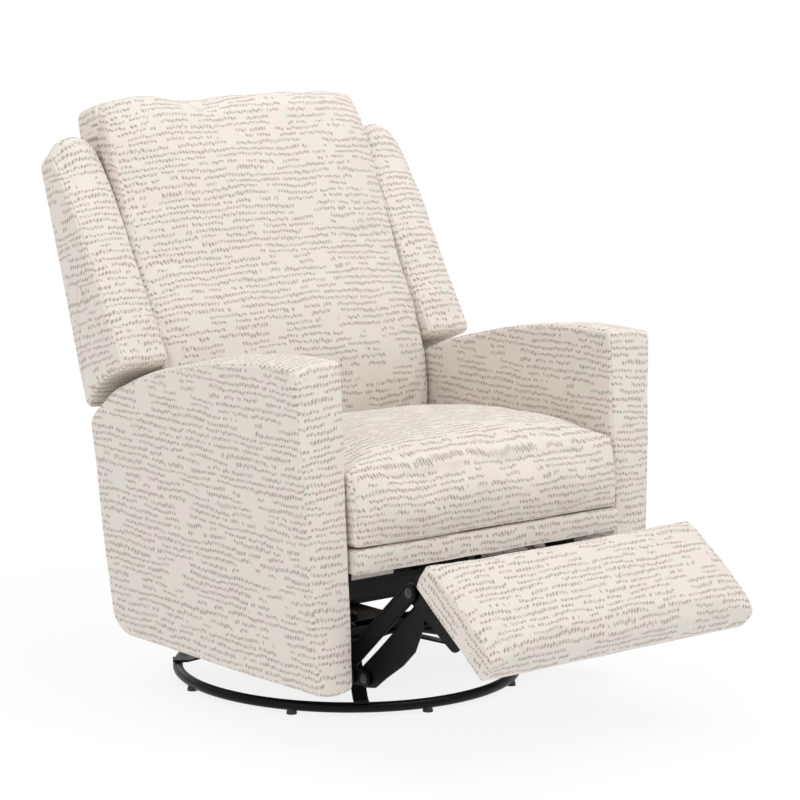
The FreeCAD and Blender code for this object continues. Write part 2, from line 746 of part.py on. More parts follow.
def torque_tube():
    """The tube that joins the drive links across the chair, welded to them beside their pivots."""
    half = 266.0
    tube = rod_x(DRIVE_PIVOT, (-half, half), TORQUE_TUBE_R)
    tube = tube.cut(rod_x(DRIVE_PIVOT, (-half - 1, half + 1), TORQUE_TUBE_R - 2))
    run = math.dist(DRIVE_PIVOT, KNEE)
    unit = ((KNEE[0] - DRIVE_PIVOT[0]) / run, (KNEE[1] - DRIVE_PIVOT[1]) / run)
    near, far = ((DRIVE_PIVOT[0] + unit[0] * d, DRIVE_PIVOT[1] + unit[1] * d) for d in (14, 17))
    dog = bar_x(near, far, 4, (half - 4, DRIVE_X[0]))
    arm_plate = bar_x(DRIVE_PIVOT, far, 8, (half - 4, half))
    arm_plate = arm_plate.cut(rod_x(DRIVE_PIVOT, (half - 5, half + 1), TORQUE_TUBE_R))
    return tube.fuse(both_sides(dog) + both_sides(arm_plate)).removeSplitter()


def knee_rivets():
    return Part.makeCompound(both_sides(rivet(KNEE, (LIFT_X[0], DRIVE_X[1]))))


def lift_links():
    """Long ribbed links from the knees up to the footrest, with a lobe for the guide links."""
    holes = [
        (KNEE, PIVOT_R + RUN), (rest_pivot(), PIVOT_R + FIXED), (GUIDE_SLOT, PIVOT_R + GUIDE_PLAY),
    ]
    plate = link([KNEE, rest_pivot()], 16, LIFT_X, [], ribbed=True)
    lobe = bar_x(GUIDE_SLOT, (-325.0, 133.0), 14, LIFT_X)
    plate = plate.fuse(lobe).removeSplitter()
    for place, radius in holes:
        plate = plate.cut(rod_x(place, (LIFT_X[0] - 1, LIFT_X[1] + RIB_H + 1), radius))
    clear_head = rod_x(GUIDE_SLOT, (LIFT_X[1], LIFT_X[1] + RIB_H + 1), HEAD_R + 2)
    return Part.makeCompound(both_sides(plate.cut(clear_head)))


def lift_rivets():
    return Part.makeCompound(both_sides(rivet(rest_pivot(), (GUIDE_X[0], LIFT_X[1]))))


def guide_links():
    """Links beside the drive links that keep the lift links' angle."""
    holes = [(GUIDE_PIVOT, PIVOT_R + RUN), (GUIDE_JOINT, PIVOT_R + FIXED), (GUIDE_END, PIVOT_R + FIXED)]
    plate = link([GUIDE_PIVOT, GUIDE_JOINT, GUIDE_END], 13, GUIDE_X, holes)
    return Part.makeCompound(both_sides(plate))


def guide_rivets():
    joint = rivet(GUIDE_JOINT, (GUIDE_X[0], LIFT_X[1]))
    end = rivet(GUIDE_END, (CONTROL_X[0], GUIDE_X[1]))
    return Part.makeCompound(both_sides(joint) + both_sides(end))


def control_outline():
    """The wide pressed plate of a control link, between its two round ends."""
    return CONTROL_BELLY + CONTROL_BACK


def inset(outline, distance):
    """The outline with every corner moved towards its middle."""
    middle = [sum(place[k] for place in outline) / len(outline) for k in range(2)]
    moved = []
    for place in outline:
        reach = math.dist(place, middle)
        share = (reach - distance) / reach
        moved.append((middle[0] + (place[0] - middle[0]) * share, middle[1] + (place[1] - middle[1]) * share))
    return moved


def control_links():
    """Wide ribbed links that turn the footrest as it rises, each with its own pin in the bracket."""
    end = pad_place(*CONTROL_ST)
    ends = [rod_x(GUIDE_END, CONTROL_X, CONTROL_END_R), rod_x(end, CONTROL_X, CONTROL_R)]
    plate = polygon_x(control_outline(), CONTROL_X).fuse(ends).removeSplitter()
    band = (CONTROL_X[0] - RIB_H, CONTROL_X[0])
    loop = polygon_x(inset(control_outline(), 12), band).cut(polygon_x(inset(control_outline(), 16), band))
    clear_head = rod_x(GUIDE_END, (band[0] - 1, band[1]), HEAD_R + 1)
    plate = plate.fuse(loop.cut(clear_head)).removeSplitter()
    plate = plate.cut(rod_x(GUIDE_END, (band[0] - 1, CONTROL_X[1] + 1), PIVOT_R + RUN))
    pin = rod_x(end, (CONTROL_X[1], GUIDE_X[1] + HEAD_T), PIVOT_R)
    return Part.makeCompound(both_sides(plate.fuse(pin).removeSplitter()))


# Footrest

def on_pad(shape):
    """Moves a shape drawn with y down the slope and z into the pad to its place."""
    shape.rotate(V(0, 0, 0), X_AXIS, 180 + PAD_SLOPE)
    shape.translate(V(0, *PAD_ORIGIN))
    return shape


def footrest_pad():
    """A crowned pad with rounded ends, drawn in at its corners."""
    rings = []
    stations = ((-1.0, 6, 10), (-0.95, 1, 4), (-0.6, 0, 1), (0.0, 0, 0), (0.6, 0, 1), (0.95, 1, 4), (1.0, 6, 10))
    for share, draw, drop in stations:
        low = PAD_T
        points = [
            (12 + draw, low), (draw + 2, PAD_T / 2), (10 + draw, 4 + drop / 2),
            (PAD_LENGTH / 2, -PAD_CROWN + drop), (PAD_LENGTH - 6 - draw, 4 + drop / 2),
            (PAD_LENGTH + 2 - draw, PAD_T / 2), (PAD_LENGTH - 8 - draw, low),
        ]
        rings.append(section(PAD_HALF * share, points, ("arc", "arc", "arc", "line")))
    return on_pad(Part.makeLoft(rings, True, False))


def footrest_board():
    return on_pad(box((-284, 284), (10, PAD_LENGTH - 10), (PAD_T + 0.3, PAD_T + BOARD_T)))


def footrest_brackets():
    """Angle brackets under the board, their webs reaching back to the pivots."""
    low = PAD_T + BOARD_T
    flange = box((238, GUIDE_X[1]), (0, PAD_LENGTH - 50), (low, low + FLANGE_T))
    flange = flange.makeFillet(2, [e for e in flange.Edges if abs(e.BoundBox.ZLength - FLANGE_T) < 0.1])
    s, t = REST_PIVOT_ST
    web = bar_x((s, -t), (112, low + 16), 15, GUIDE_X)
    strip = box(GUIDE_X, (-16, PAD_LENGTH - 50), (low, low + 12))
    web = web.fuse([strip, flange]).removeSplitter()
    cutter = (GUIDE_X[0] - 1, GUIDE_X[1] + 1)
    web = web.cut(rod_x((s, -t), cutter, PIVOT_R + RUN))
    web = web.cut(rod_x((CONTROL_ST[0], -CONTROL_ST[1]), cutter, PIVOT_R + CONTROL_PLAY))
    web = web.cut(box((CONTROL_X[0] - 2, GUIDE_X[0] - 1), (-20, 70), (low - 1, low + FLANGE_T + 1)))
    return Part.makeCompound(both_sides(on_pad(web)))


# Back

def on_back(shape):
    """Moves a shape drawn in the back's own frame to its place."""
    shape.rotate(V(0, 0, 0), X_AXIS, -LEAN)
    shape.translate(V(0, *BACK_ORIGIN))
    return shape


def back_place(v, w):
    """A point of the back's own frame as (y, z)."""
    lean = math.radians(LEAN)
    return (
        BACK_ORIGIN[0] + v * math.cos(lean) + w * math.sin(lean),
        BACK_ORIGIN[1] - v * math.sin(lean) + w * math.cos(lean),
    )


def back_cushion():
    """A thick back cushion, fuller at the lumbar and crowned across."""
    rings = []
    stations = ((-1.0, 20), (-0.93, 6), (-0.5, -8), (0.0, -14), (0.5, -8), (0.93, 6), (1.0, 20))
    for share, inset in stations:
        x = SEAT_HALF * share
        drop = max(inset, 0)
        points = [
            (108 + inset, 428), (118 + inset, 525), (155 + inset, 635),
            (220 + inset, 790), (318 + inset * 0.8, 992 - drop),
            (343 + inset * 0.3, 1026 - drop), back_place(-37, 540 - drop), back_place(-37, -72),
        ]
        rings.append(section(x, points, ("arc", "arc", "arc", "line", "line")))
    return Part.makeLoft(rings, True, False)


def back_posts():
    return Part.makeCompound([on_back(p) for p in both_sides(box(POST_X, FRAME_V, (BACK_LOW, FRAME_TOP)))])


def back_rails():
    half = POST_X[0]
    top = box((-half, half), FRAME_V, (FRAME_TOP - 60, FRAME_TOP))
    low = box((-half, half), FRAME_V, (BACK_LOW + 5, BACK_LOW + 65))
    return Part.makeCompound([on_back(top), on_back(low)])


def back_springs():
    wires = []
    for k in range(4):
        wire = sinuous_wire(-165 + 110 * k, BACK_LOW + 65, FRAME_TOP - 60, 32, 14)
        wire.rotate(V(0, 0, 0), X_AXIS, 90)
        wire.translate(V(0, -24, 0))
        wires.append(on_back(wire))
    return Part.makeCompound(wires)


def outside_back():
    """The covered rear shell: panel, top, sides above the arms, and the wings' backing."""
    lower = box((-296, 296), (-8, 0), (BACK_LOW, 0))
    upper = box((-296, 296), (-36, 0), (0, SHELL_TOP))
    upper = upper.makeFillet(12, [e for e in upper.Edges if e.BoundBox.ZMin > SHELL_TOP - 1 and e.BoundBox.YMin > -1])
    hollow = box((-292.5, 292.5), (-37, -8), (-1, FRAME_TOP + 2))
    wings = [box(sorted_pair(side * 296, side * 393), (-8, 0), (12, 456)) for side in (-1, 1)]
    return on_back(lower.fuse([upper.cut(hollow)] + wings).removeSplitter())


def wing():
    """A padded wing that follows the arm below and leans back from the cushion above."""
    inner = [(146, 585), (345, 944), (388, 926), (262, 555), (249, 512), (205, 550)]
    outer = [(116, 569), (278, 884), (378, 924), (258, 560), (246, 500), (199, 529)]
    loops = []
    for x, outline in ((298.0, inner), (395.0, outer)):
        corners = [V(x, y, z) for y, z in outline]
        loops.append(Part.makePolygon(corners + [corners[0]]))
    solid = Part.makeLoft(loops, True, True)
    keep = on_back(box((290, 400), (-200, -8.3), (-80, 600)))
    return solid.common(keep)


def back_brackets():
    """Steel brackets from the posts to the back's pivots."""
    strip = on_back(box(PLATE_X, (-32, -10), (BACK_LOW, -40)))
    foot = bar_x(BACK_PIVOT, (165, 345), 14, PLATE_X)
    bracket = strip.fuse(foot).removeSplitter()
    return Part.makeCompound(both_sides(bracket.cut(rod_x(BACK_PIVOT, (280, 300), BACK_PIVOT_R + RUN))))


def mirrored(shape):
    return shape.mirror(V(0, 0, 0), X_AXIS)


def pieces():
    """Every piece of the chair by its name."""
    left_arm = arm()
    tall = (LATCH_Z - LATCH_HALF, LATCH_Z + LATCH_HALF)
    cup_room = box((-ARM_IN - 25, -ARM_IN), (LATCH_Y - 36, LATCH_Y + 36), tall)
    right_arm = mirrored(left_arm).cut(cup_room).cut(cable_bore())
    return {
        "base_ring": base_ring(),
        "base_feet": base_feet(),
        "base_spokes": base_spokes(),
        "base_hub": base_hub(),
        "lower_race": lower_race(),
        "kingpin": kingpin(),
        "ball_cage": ball_cage(),
        "bearing_balls": bearing_balls(),
        "upper_race": upper_race(),
        "swivel_plate": swivel_plate(),
        "glide_beams": glide_beams(),
        "glide_uprights": glide_uprights(),
        "glide_upper_pins": glide_upper_pins(),
        "glide_links_front": glide_links(-GLIDE_Y, RUN),
        "glide_links_rear": glide_links(GLIDE_Y, GLIDE_OPEN_PLAY),
        "glide_plates": glide_plates(),
        "glide_lower_pins": glide_lower_pins(),
        "carriage_tubes": carriage_tubes(),
        "side_plates": side_plates(),
        "back_pivot_pins": back_pivot_pins(),
        "arm_bolts": arm_bolts(),
        "arm_boards": Part.makeCompound(both_sides(arm_board())),
        "arm_left": left_arm,
        "arm_right": right_arm,
        "lower_back_panel": lower_back_panel(),
        "latch_cup": latch_cup(),
        "release_lever": release_lever(),
        "release_cable": release_cable(),
        "pawl_bracket": pawl_bracket(),
        "lock_pawl": lock_pawl(),
        "seat_cushion": seat_cushion(),
        "seat_front_band": seat_front_band(),
        "seat_cross_rails": seat_cross_rails(),
        "seat_side_rails": seat_side_rails(),
        "seat_springs": seat_springs(),
        "seat_plates": seat_plates(),
        "seat_studs": seat_studs(),
        "seat_cross_bar": seat_cross_bar(),
        "seat_pivot_pins": seat_pivot_pins(),
        "footrest_springs": footrest_springs(),
        "drive_links": drive_links(),
        "torque_tube": torque_tube(),
        "knee_rivets": knee_rivets(),
        "lift_links": lift_links(),
        "lift_rivets": lift_rivets(),
        "guide_links": guide_links(),
        "guide_rivets": guide_rivets(),
        "control_links": control_links(),
        "footrest_pad": footrest_pad(),
        "footrest_board": footrest_board(),
        "footrest_brackets": footrest_brackets(),
        "back_cushion": back_cushion(),
        "back_posts": back_posts(),
        "back_rails": back_rails(),
        "back_springs": back_springs(),
        "outside_back": outside_back(),
        "wing_left": wing(),
        "wing_right": mirrored(wing()),
        "back_brackets": back_brackets(),
    }


def main():
    """Builds every piece and writes each one to its own file."""
    os.makedirs("parts", exist_ok=True)
    made = pieces()
    for name, shape in made.items():
        if not shape.isValid() or shape.Volume <= 0:
            print("check this shape:", name, shape.isValid(), round(shape.Volume))
        shape.translate(V(0, 0, -FLOOR_Z))
        shape.exportStep("parts/" + name + ".step")
    print(len(made), "pieces written")


if __name__ == "__main__":
    main()
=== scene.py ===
import json
import logging
import math
from dataclasses import dataclass, field
from enum import Enum
from typing import Callable, Sequence

import bmesh
import bpy
import numpy as np
from mathutils import Matrix, Vector, noise

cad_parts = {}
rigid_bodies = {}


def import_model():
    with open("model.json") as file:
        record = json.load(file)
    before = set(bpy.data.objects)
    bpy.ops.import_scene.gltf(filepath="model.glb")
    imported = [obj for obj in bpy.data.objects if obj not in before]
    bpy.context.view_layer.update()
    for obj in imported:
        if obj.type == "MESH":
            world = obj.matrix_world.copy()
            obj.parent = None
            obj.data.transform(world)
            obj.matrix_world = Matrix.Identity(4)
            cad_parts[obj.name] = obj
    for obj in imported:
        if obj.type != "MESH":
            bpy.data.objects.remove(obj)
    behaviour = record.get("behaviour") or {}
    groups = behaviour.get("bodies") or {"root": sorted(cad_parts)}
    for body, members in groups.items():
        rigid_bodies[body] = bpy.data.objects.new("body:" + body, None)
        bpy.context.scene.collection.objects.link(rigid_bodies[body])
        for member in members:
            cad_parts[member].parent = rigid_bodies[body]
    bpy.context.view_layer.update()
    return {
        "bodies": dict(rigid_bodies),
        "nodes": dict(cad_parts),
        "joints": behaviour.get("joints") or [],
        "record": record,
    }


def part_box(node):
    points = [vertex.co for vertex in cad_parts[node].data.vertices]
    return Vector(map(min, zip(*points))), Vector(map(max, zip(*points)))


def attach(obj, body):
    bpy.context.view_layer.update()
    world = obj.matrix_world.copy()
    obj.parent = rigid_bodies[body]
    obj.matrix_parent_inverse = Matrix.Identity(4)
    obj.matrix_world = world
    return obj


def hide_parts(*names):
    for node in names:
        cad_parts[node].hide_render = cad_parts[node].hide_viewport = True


LOG = logging.getLogger("recliner")
WEAVE = "weave"
PIN = "sewn"

Plane = Callable[[np.ndarray, np.ndarray], np.ndarray]


# Node trees

class Field:
    """A number that a tree works out, kept as one of its float sockets."""

    def __init__(self, tree: "Tree", socket: bpy.types.NodeSocket) -> None:
        """Wraps a socket of the tree."""
        self.tree = tree
        self.socket = socket

    def _math(self, operation: str, *terms: "Field | float") -> "Field":
        """Adds a Math node on the terms.

        Args:
            operation: The node's operation.
            terms: Its inputs in order.

        Returns:
            The node's result.
        """
        inputs = dict(enumerate(terms))
        made = self.tree.node("ShaderNodeMath", {"operation": operation}, inputs)
        return Field(self.tree, made.outputs[0])

    def __add__(self, other: "Field | float") -> "Field":
        """The sum."""
        return self._math("ADD", self, other)

    __radd__ = __add__

    def __mul__(self, other: "Field | float") -> "Field":
        """The product."""
        return self._math("MULTIPLY", self, other)

    __rmul__ = __mul__

    def __sub__(self, other: "Field | float") -> "Field":
        """The difference."""
        return self._math("SUBTRACT", self, other)

    def __rsub__(self, other: float) -> "Field":
        """A number less this field."""
        return self._math("SUBTRACT", other, self)

    def __truediv__(self, other: "Field | float") -> "Field":
        """The quotient."""
        return self._math("DIVIDE", self, other)

    def __lt__(self, other: "Field | float") -> "Field":
        """One where this field is the smaller, else zero."""
        return self._math("LESS_THAN", self, other)

    def __gt__(self, other: "Field | float") -> "Field":
        """One where this field is the larger, else zero."""
        return self._math("GREATER_THAN", self, other)

    def floor(self) -> "Field":
        """The whole number below."""
        return self._math("FLOOR", self)

    def fract(self) -> "Field":
        """The part after the point."""
        return self._math("FRACT", self)

    def sine(self) -> "Field":
        """The sine, in radians."""
        return self._math("SINE", self)

    def size(self) -> "Field":
        """The absolute value."""
        return self._math("ABSOLUTE", self)

    def larger(self, other: "Field | float") -> "Field":
        """The larger of the two."""
        return self._math("MAXIMUM", self, other)

    def ease(self, low: float, high: float, start: float = 0.0, end: float = 1.0) -> "Field":
        """A smooth step from start to end between two values.

        Args:
            low: Value where the step begins.
            high: Value where it ends.
            start: Result below low.
            end: Result above high.

        Returns:
            The stepped field.
        """
        settings = {"interpolation_type": "SMOOTHSTEP"}
        inputs = {"Value": self, "From Min": low, "From Max": high, "To Min": start, "To Max": end}
        return Field(self.tree, self.tree.node("ShaderNodeMapRange", settings, inputs).outputs[0])


class Tree:
    """A node tree that is built by asking for one node after another."""

    def __init__(self, tree: bpy.types.NodeTree) -> None:
        """Wraps an empty tree."""
        self.tree = tree

    def node(self, kind: str, settings: dict | None = None, inputs: dict | None = None) -> bpy.types.Node:
        """Adds a node.

        Args:
            kind: The node's type.
            settings: Properties, set before the inputs.
            inputs: Values, fields, sockets or a list of sockets, by the input's name or place.

        Returns:
            The node.
        """
        made = self.tree.nodes.new(kind)
        for key, value in (settings or {}).items():
            setattr(made, key, value)
        for key, value in (inputs or {}).items():
            given = value if isinstance(value, list) else [value]
            for item in given:
                item = item.socket if isinstance(item, Field) else item
                if isinstance(item, bpy.types.NodeSocket):
                    self.tree.links.new(item, made.inputs[key])
                else:
                    made.inputs[key].default_value = item
        return made

    def split(self, socket: bpy.types.NodeSocket) -> tuple[Field, Field, Field]:
        """The three numbers of a vector or a colour."""
        made = self.node("ShaderNodeSeparateXYZ", {}, {0: socket})
        return tuple(Field(self, out) for out in made.outputs)

    def join(self, x: Field | float, y: Field | float, z: Field | float = 0.0) -> bpy.types.NodeSocket:
        """A vector from three numbers."""
        return self.node("ShaderNodeCombineXYZ", {}, {0: x, 1: y, 2: z}).outputs[0]


class Shader(Tree):
    """A material's node tree."""

    def __init__(self, name: str) -> None:
        """Makes an empty material of that name."""
        self.material = bpy.data.materials.new(name)
        self.material.use_nodes = True
        super().__init__(self.material.node_tree)
        self.tree.nodes.clear()

    def place(self) -> bpy.types.NodeSocket:
        """The point's place in the object, in metres."""
        return self.node("ShaderNodeTexCoord").outputs["Object"]

    def noise(self, vector: bpy.types.NodeSocket, scale: float, detail: float = 2.0) -> Field:
        """Smooth noise from 0 to 1."""
        inputs = {"Vector": vector, "Scale": scale, "Detail": detail}
        return Field(self, self.node("ShaderNodeTexNoise", {}, inputs).outputs["Fac"])

    def dice(self, x: Field | float, y: Field | float, seed: float) -> tuple[Field, Field, Field]:
        """Three random numbers for each cell.

        Args:
            x: The cell's column.
            y: The cell's row.
            seed: Keeps one set of cells apart from another.

        Returns:
            Numbers from 0 to 1.
        """
        inputs = {"Vector": self.join(x, y, seed)}
        made = self.node("ShaderNodeTexWhiteNoise", {"noise_dimensions": "3D"}, inputs)
        return self.split(made.outputs["Color"])

    def blend(self, share: Field | float, low: object, high: object) -> bpy.types.NodeSocket:
        """A colour between two."""
        made = self.node("ShaderNodeMix", {"data_type": "RGBA"}, {"Factor": share, 6: low, 7: high})
        return made.outputs[2]

    def bump(self, height: Field, distance: float, strength: float = 1.0) -> bpy.types.NodeSocket:
        """A normal that follows a height."""
        inputs = {"Height": height, "Distance": distance, "Strength": strength}
        return self.node("ShaderNodeBump", {}, inputs).outputs[0]

    def surface(self, **values: object) -> bpy.types.Material:
        """Ends the tree in a Principled shader.

        Args:
            values: Its inputs, with underscores for spaces.

        Returns:
            The finished material.
        """
        inputs = {key.replace("_", " "): value for key, value in values.items()}
        made = self.node("ShaderNodeBsdfPrincipled", {}, inputs)
        return self.close(made.outputs[0])

    def close(self, socket: bpy.types.NodeSocket) -> bpy.types.Material:
        """Puts a shader on the output."""
        self.node("ShaderNodeOutputMaterial", {}, {"Surface": socket})
        return self.material


def rgb(red: float, green: float, blue: float) -> tuple[float, float, float, float]:
    """A colour from linear parts."""
    return (red, green, blue, 1.0)


# Finishes

@dataclass(frozen=True)
class WovenCover:
    """The upholstery: fine upright ribs, wavy broken rows of dashes and plain patches."""

    name: str = "woven_cover"
    row_pitch: float = 0.0122
    dash_pitch: float = 0.0066
    rib_pitch: float = 0.0033
    dash_share: float = 0.74
    dash_height: float = 0.0048
    sway: float = 0.010
    cream: tuple = rgb(0.80, 0.74, 0.675)
    taupe: tuple = rgb(0.36, 0.295, 0.265)
    shell_pink: tuple = rgb(0.82, 0.725, 0.675)
    sage_white: tuple = rgb(0.755, 0.745, 0.665)

    def material(self) -> bpy.types.Material:
        """Builds the weave on the piece's own weave map, in metres."""
        sh = Shader(self.name)
        cloth = sh.node("ShaderNodeUVMap", {"uv_map": WEAVE}).outputs[0]
        u, v, _ = sh.split(cloth)
        drift = (sh.noise(sh.join(u * 0.45, v), 22.0, 2.0) - 0.5) * (2 * self.sway)
        across = (v + drift) / self.row_pitch
        row = across.floor()
        shift, _, _ = sh.dice(row, 3.0, 1.0)
        along = u / self.dash_pitch + shift * 9.0
        column = along.floor()
        lift, weight, skip = sh.dice(column, row, 2.0)
        inside = ((along.fract() - 0.5).size() - 0.5 * self.dash_share).ease(-0.13, 0.13, 1.0, 0.0)
        half = 0.5 * self.dash_height / self.row_pitch
        slant = (along.fract() - 0.5) * (weight - 0.5) * 0.8
        offset = across.fract() - 0.5 - (lift - 0.5) * 0.24 + slant
        stripe = (offset.size() - half).ease(-0.07, 0.09, 1.0, 0.0)
        plain = self._plain(sh, u, row, shift)
        dash = inside * stripe * weight.ease(0.0, 1.0, 0.55, 1.0) * (skip > 0.05) * (1.0 - plain)
        rib = (u * (math.pi / self.rib_pitch)).sine().size()
        return self._finish(sh, cloth, u, v, row, dash, rib)

    def _plain(self, sh: Shader, u: Field, row: Field, shift: Field) -> Field:
        """Where the weave is left plain, in blocks one or two rows high.

        Args:
            sh: The shader.
            u: Length along the rows.
            row: The row's number.
            shift: A random number for the row.

        Returns:
            One on a plain block, else zero.
        """
        pair = (row / 2.0).floor()
        pair_shift, _, _ = sh.dice(pair, 5.0, 4.0)
        wide, _, _ = sh.dice((u / 0.040 + pair_shift * 6.0).floor(), pair, 5.0)
        small, _, _ = sh.dice((u / 0.021 + shift * 6.0).floor(), row, 6.0)
        return (wide < 0.055).larger(small < 0.10)

    def _finish(
        self, sh: Shader, cloth: bpy.types.NodeSocket, u: Field, v: Field, row: Field, dash: Field, rib: Field
    ) -> bpy.types.Material:
        """Colours and embosses the weave, with painted shade in the low spots of its relief.

        Args:
            sh: The shader.
            cloth: The weave map; not used.
            u: Length along the rows.
            v: Length across the rows.
            row: The row's number.
            dash: One on a dash.
            rib: The ribs' height.

        Returns:
            The material.
        """
        tone, warmth, _ = sh.dice((u / 0.034).floor(), (row / 2.0).floor(), 8.0)
        cloud = sh.noise(sh.place(), 9.0, 2.0)
        ground = sh.blend(tone * 0.55, self.cream, self.sage_white)
        ground = sh.blend((warmth * 0.5 + cloud * 0.4).ease(0.3, 0.8), ground, self.shell_pink)
        thread = sh.noise(sh.join(u * 0.35, v * 2.2), 900.0, 2.0)
        # Painted shade: the colour is darkened in the low spots of the rib and thread relief, down to 93% in
        # the rib troughs, and lifted a touch on the thread tops.
        trough_shade = rib.ease(0.0, 0.7, 0.93, 1.0) * thread.ease(0.25, 0.7, 0.965, 1.01)
        scaled = {0: ground, "Scale": trough_shade}
        shaded_ground = sh.node("ShaderNodeVectorMath", {"operation": "SCALE"}, scaled).outputs[0]
        colour = sh.blend(dash * 0.86, shaded_ground, self.taupe)
        relief = rib * 0.4 + thread * 0.4
        return sh.surface(
            Base_Color=colour,
            Roughness=0.92,
            Sheen_Weight=0.12,
            Sheen_Roughness=0.5,
            Specular_IOR_Level=0.25,
            Normal=sh.bump(relief, 0.0007, 0.8),
        )


@dataclass(frozen=True)
class PaintedSteel:
    """Satin black paint with a faint orange peel and rubbed dust."""

    name: str = "black_paint"
    dark: tuple = rgb(0.0024, 0.0023, 0.0025)
    dust: tuple = rgb(0.0070, 0.0067, 0.0064)

    def material(self) -> bpy.types.Material:
        """Builds the paint."""
        sh = Shader(self.name)
        place = sh.place()
        peel = sh.noise(place, 700.0, 2.0)
        smear = sh.noise(place, 30.0, 4.0)
        colour = sh.blend(smear.ease(0.52, 0.78, 0.0, 0.6), self.dark, self.dust)
        return sh.surface(
            Base_Color=colour,
            Roughness=smear.ease(0.3, 0.7, 0.28, 0.42),
            Specular_IOR_Level=0.16,
            Normal=sh.bump(peel, 0.00015, 0.7),
        )


@dataclass(frozen=True)
class BareSteel:
    """Plated or oiled steel with fine turning marks."""

    name: str
    tint: tuple
    rough: float

    def material(self) -> bpy.types.Material:
        """Builds the metal."""
        sh = Shader(self.name)
        place = sh.place()
        x, y, z = sh.split(place)
        marks = sh.noise(sh.join(x * 0.2, y, z), 900.0, 2.0)
        stain = sh.noise(place, 60.0, 3.0)
        dull = tuple(0.55 * c for c in self.tint[:3]) + (1.0,)
        return sh.surface(
            Base_Color=sh.blend(stain.ease(0.45, 0.75), self.tint, dull),
            Metallic=1.0,
            Roughness=marks.ease(0.3, 0.7, self.rough, self.rough + 0.15),
            Normal=sh.bump(marks, 0.0001, 0.6),
        )


@dataclass(frozen=True)
class Plywood:
    """Pale plywood and sawn hardwood, with grain along its length."""

    name: str = "plywood"
    pale: tuple = rgb(0.56, 0.38, 0.21)
    dark: tuple = rgb(0.33, 0.195, 0.095)

    def material(self) -> bpy.types.Material:
        """Builds the wood."""
        sh = Shader(self.name)
        x, y, z = sh.split(sh.place())
        warp = sh.noise(sh.join(x, y, z), 6.0, 2.0) * 0.05
        grain = sh.noise(sh.join(x * 2.0, (y + warp) * 24.0, (z + warp) * 24.0), 9.0, 4.0)
        fibre = sh.noise(sh.join(x * 8.0, y * 160.0, z * 160.0), 6.0, 2.0)
        return sh.surface(
            Base_Color=sh.blend((grain * 0.7 + fibre * 0.3).ease(0.35, 0.7), self.pale, self.dark),
            Roughness=0.7,
            Normal=sh.bump(fibre, 0.0003, 0.5),
        )


@dataclass(frozen=True)
class Moulding:
    """Black moulded plastic or rubber."""

    name: str
    tint: tuple
    rough: float
    grain: float

    def material(self) -> bpy.types.Material:
        """Builds the plastic."""
        sh = Shader(self.name)
        grain = sh.noise(sh.place(), self.grain, 2.0)
        wear = sh.noise(sh.place(), 40.0, 3.0)
        lighter = tuple(min(1.0, 1.8 * c) for c in self.tint[:3]) + (1.0,)
        return sh.surface(
            Base_Color=sh.blend(wear.ease(0.5, 0.8), self.tint, lighter),
            Roughness=wear.ease(0.3, 0.7, self.rough, self.rough + 0.1),
            Normal=sh.bump(grain, 0.00012, 0.8),
        )


class Slot(Enum):
    """The record's material slots."""

    FABRIC = "woven_fabric"
    PLYWOOD = "plywood"
    STEEL = "black_steel"
    PLASTIC = "black_plastic"
    ZINC = "zinc_steel"
    WIRE = "spring_wire"
    SHEATH = "cable_sheath"


FINISHES = {
    Slot.FABRIC: WovenCover(),
    Slot.PLYWOOD: Plywood(),
    Slot.STEEL: PaintedSteel(),
    Slot.PLASTIC: Moulding("moulded_black", rgb(0.018, 0.018, 0.018), 0.48, 1400.0),
    Slot.ZINC: BareSteel("zinc_plate", rgb(0.11, 0.11, 0.112), 0.34),
    Slot.WIRE: BareSteel("oiled_wire", rgb(0.14, 0.14, 0.145), 0.38),
    Slot.SHEATH: Moulding("cable_jacket", rgb(0.012, 0.012, 0.012), 0.42, 2200.0),
}


# Outlines

def turn_corner(
    before: np.ndarray, corner: np.ndarray, after: np.ndarray, radius: float, step: float
) -> list:
    """Rounds one corner of an outline.

    Args:
        before: The corner before.
        corner: The corner itself.
        after: The corner after.
        radius: Wanted radius, made smaller where the sides are short.
        step: Largest distance between points.

    Returns:
        Points along the arc.
    """
    back = before - corner
    ahead = after - corner
    room = 0.49 * min(np.linalg.norm(back), np.linalg.norm(ahead))
    back /= np.linalg.norm(back)
    ahead /= np.linalg.norm(ahead)
    half = 0.5 * math.acos(float(np.clip(back @ ahead, -1, 1)))
    if half > math.radians(89.5):
        return [corner]
    cut = min(radius / math.tan(half), room)
    radius = cut * math.tan(half)
    start = corner + back * cut
    end = corner + ahead * cut
    middle = (back + ahead) / np.linalg.norm(back + ahead)
    centre = corner + middle * (radius / math.sin(half))
    sweep = math.pi - 2 * half
    count = max(3, int(math.ceil(radius * sweep / step)) + 1)
    first = start - centre
    last = end - centre
    points = []
    for share in np.linspace(0, 1, count):
        mixed = math.sin((1 - share) * sweep) * first + math.sin(share * sweep) * last
        points.append(centre + mixed / math.sin(sweep))
    return points


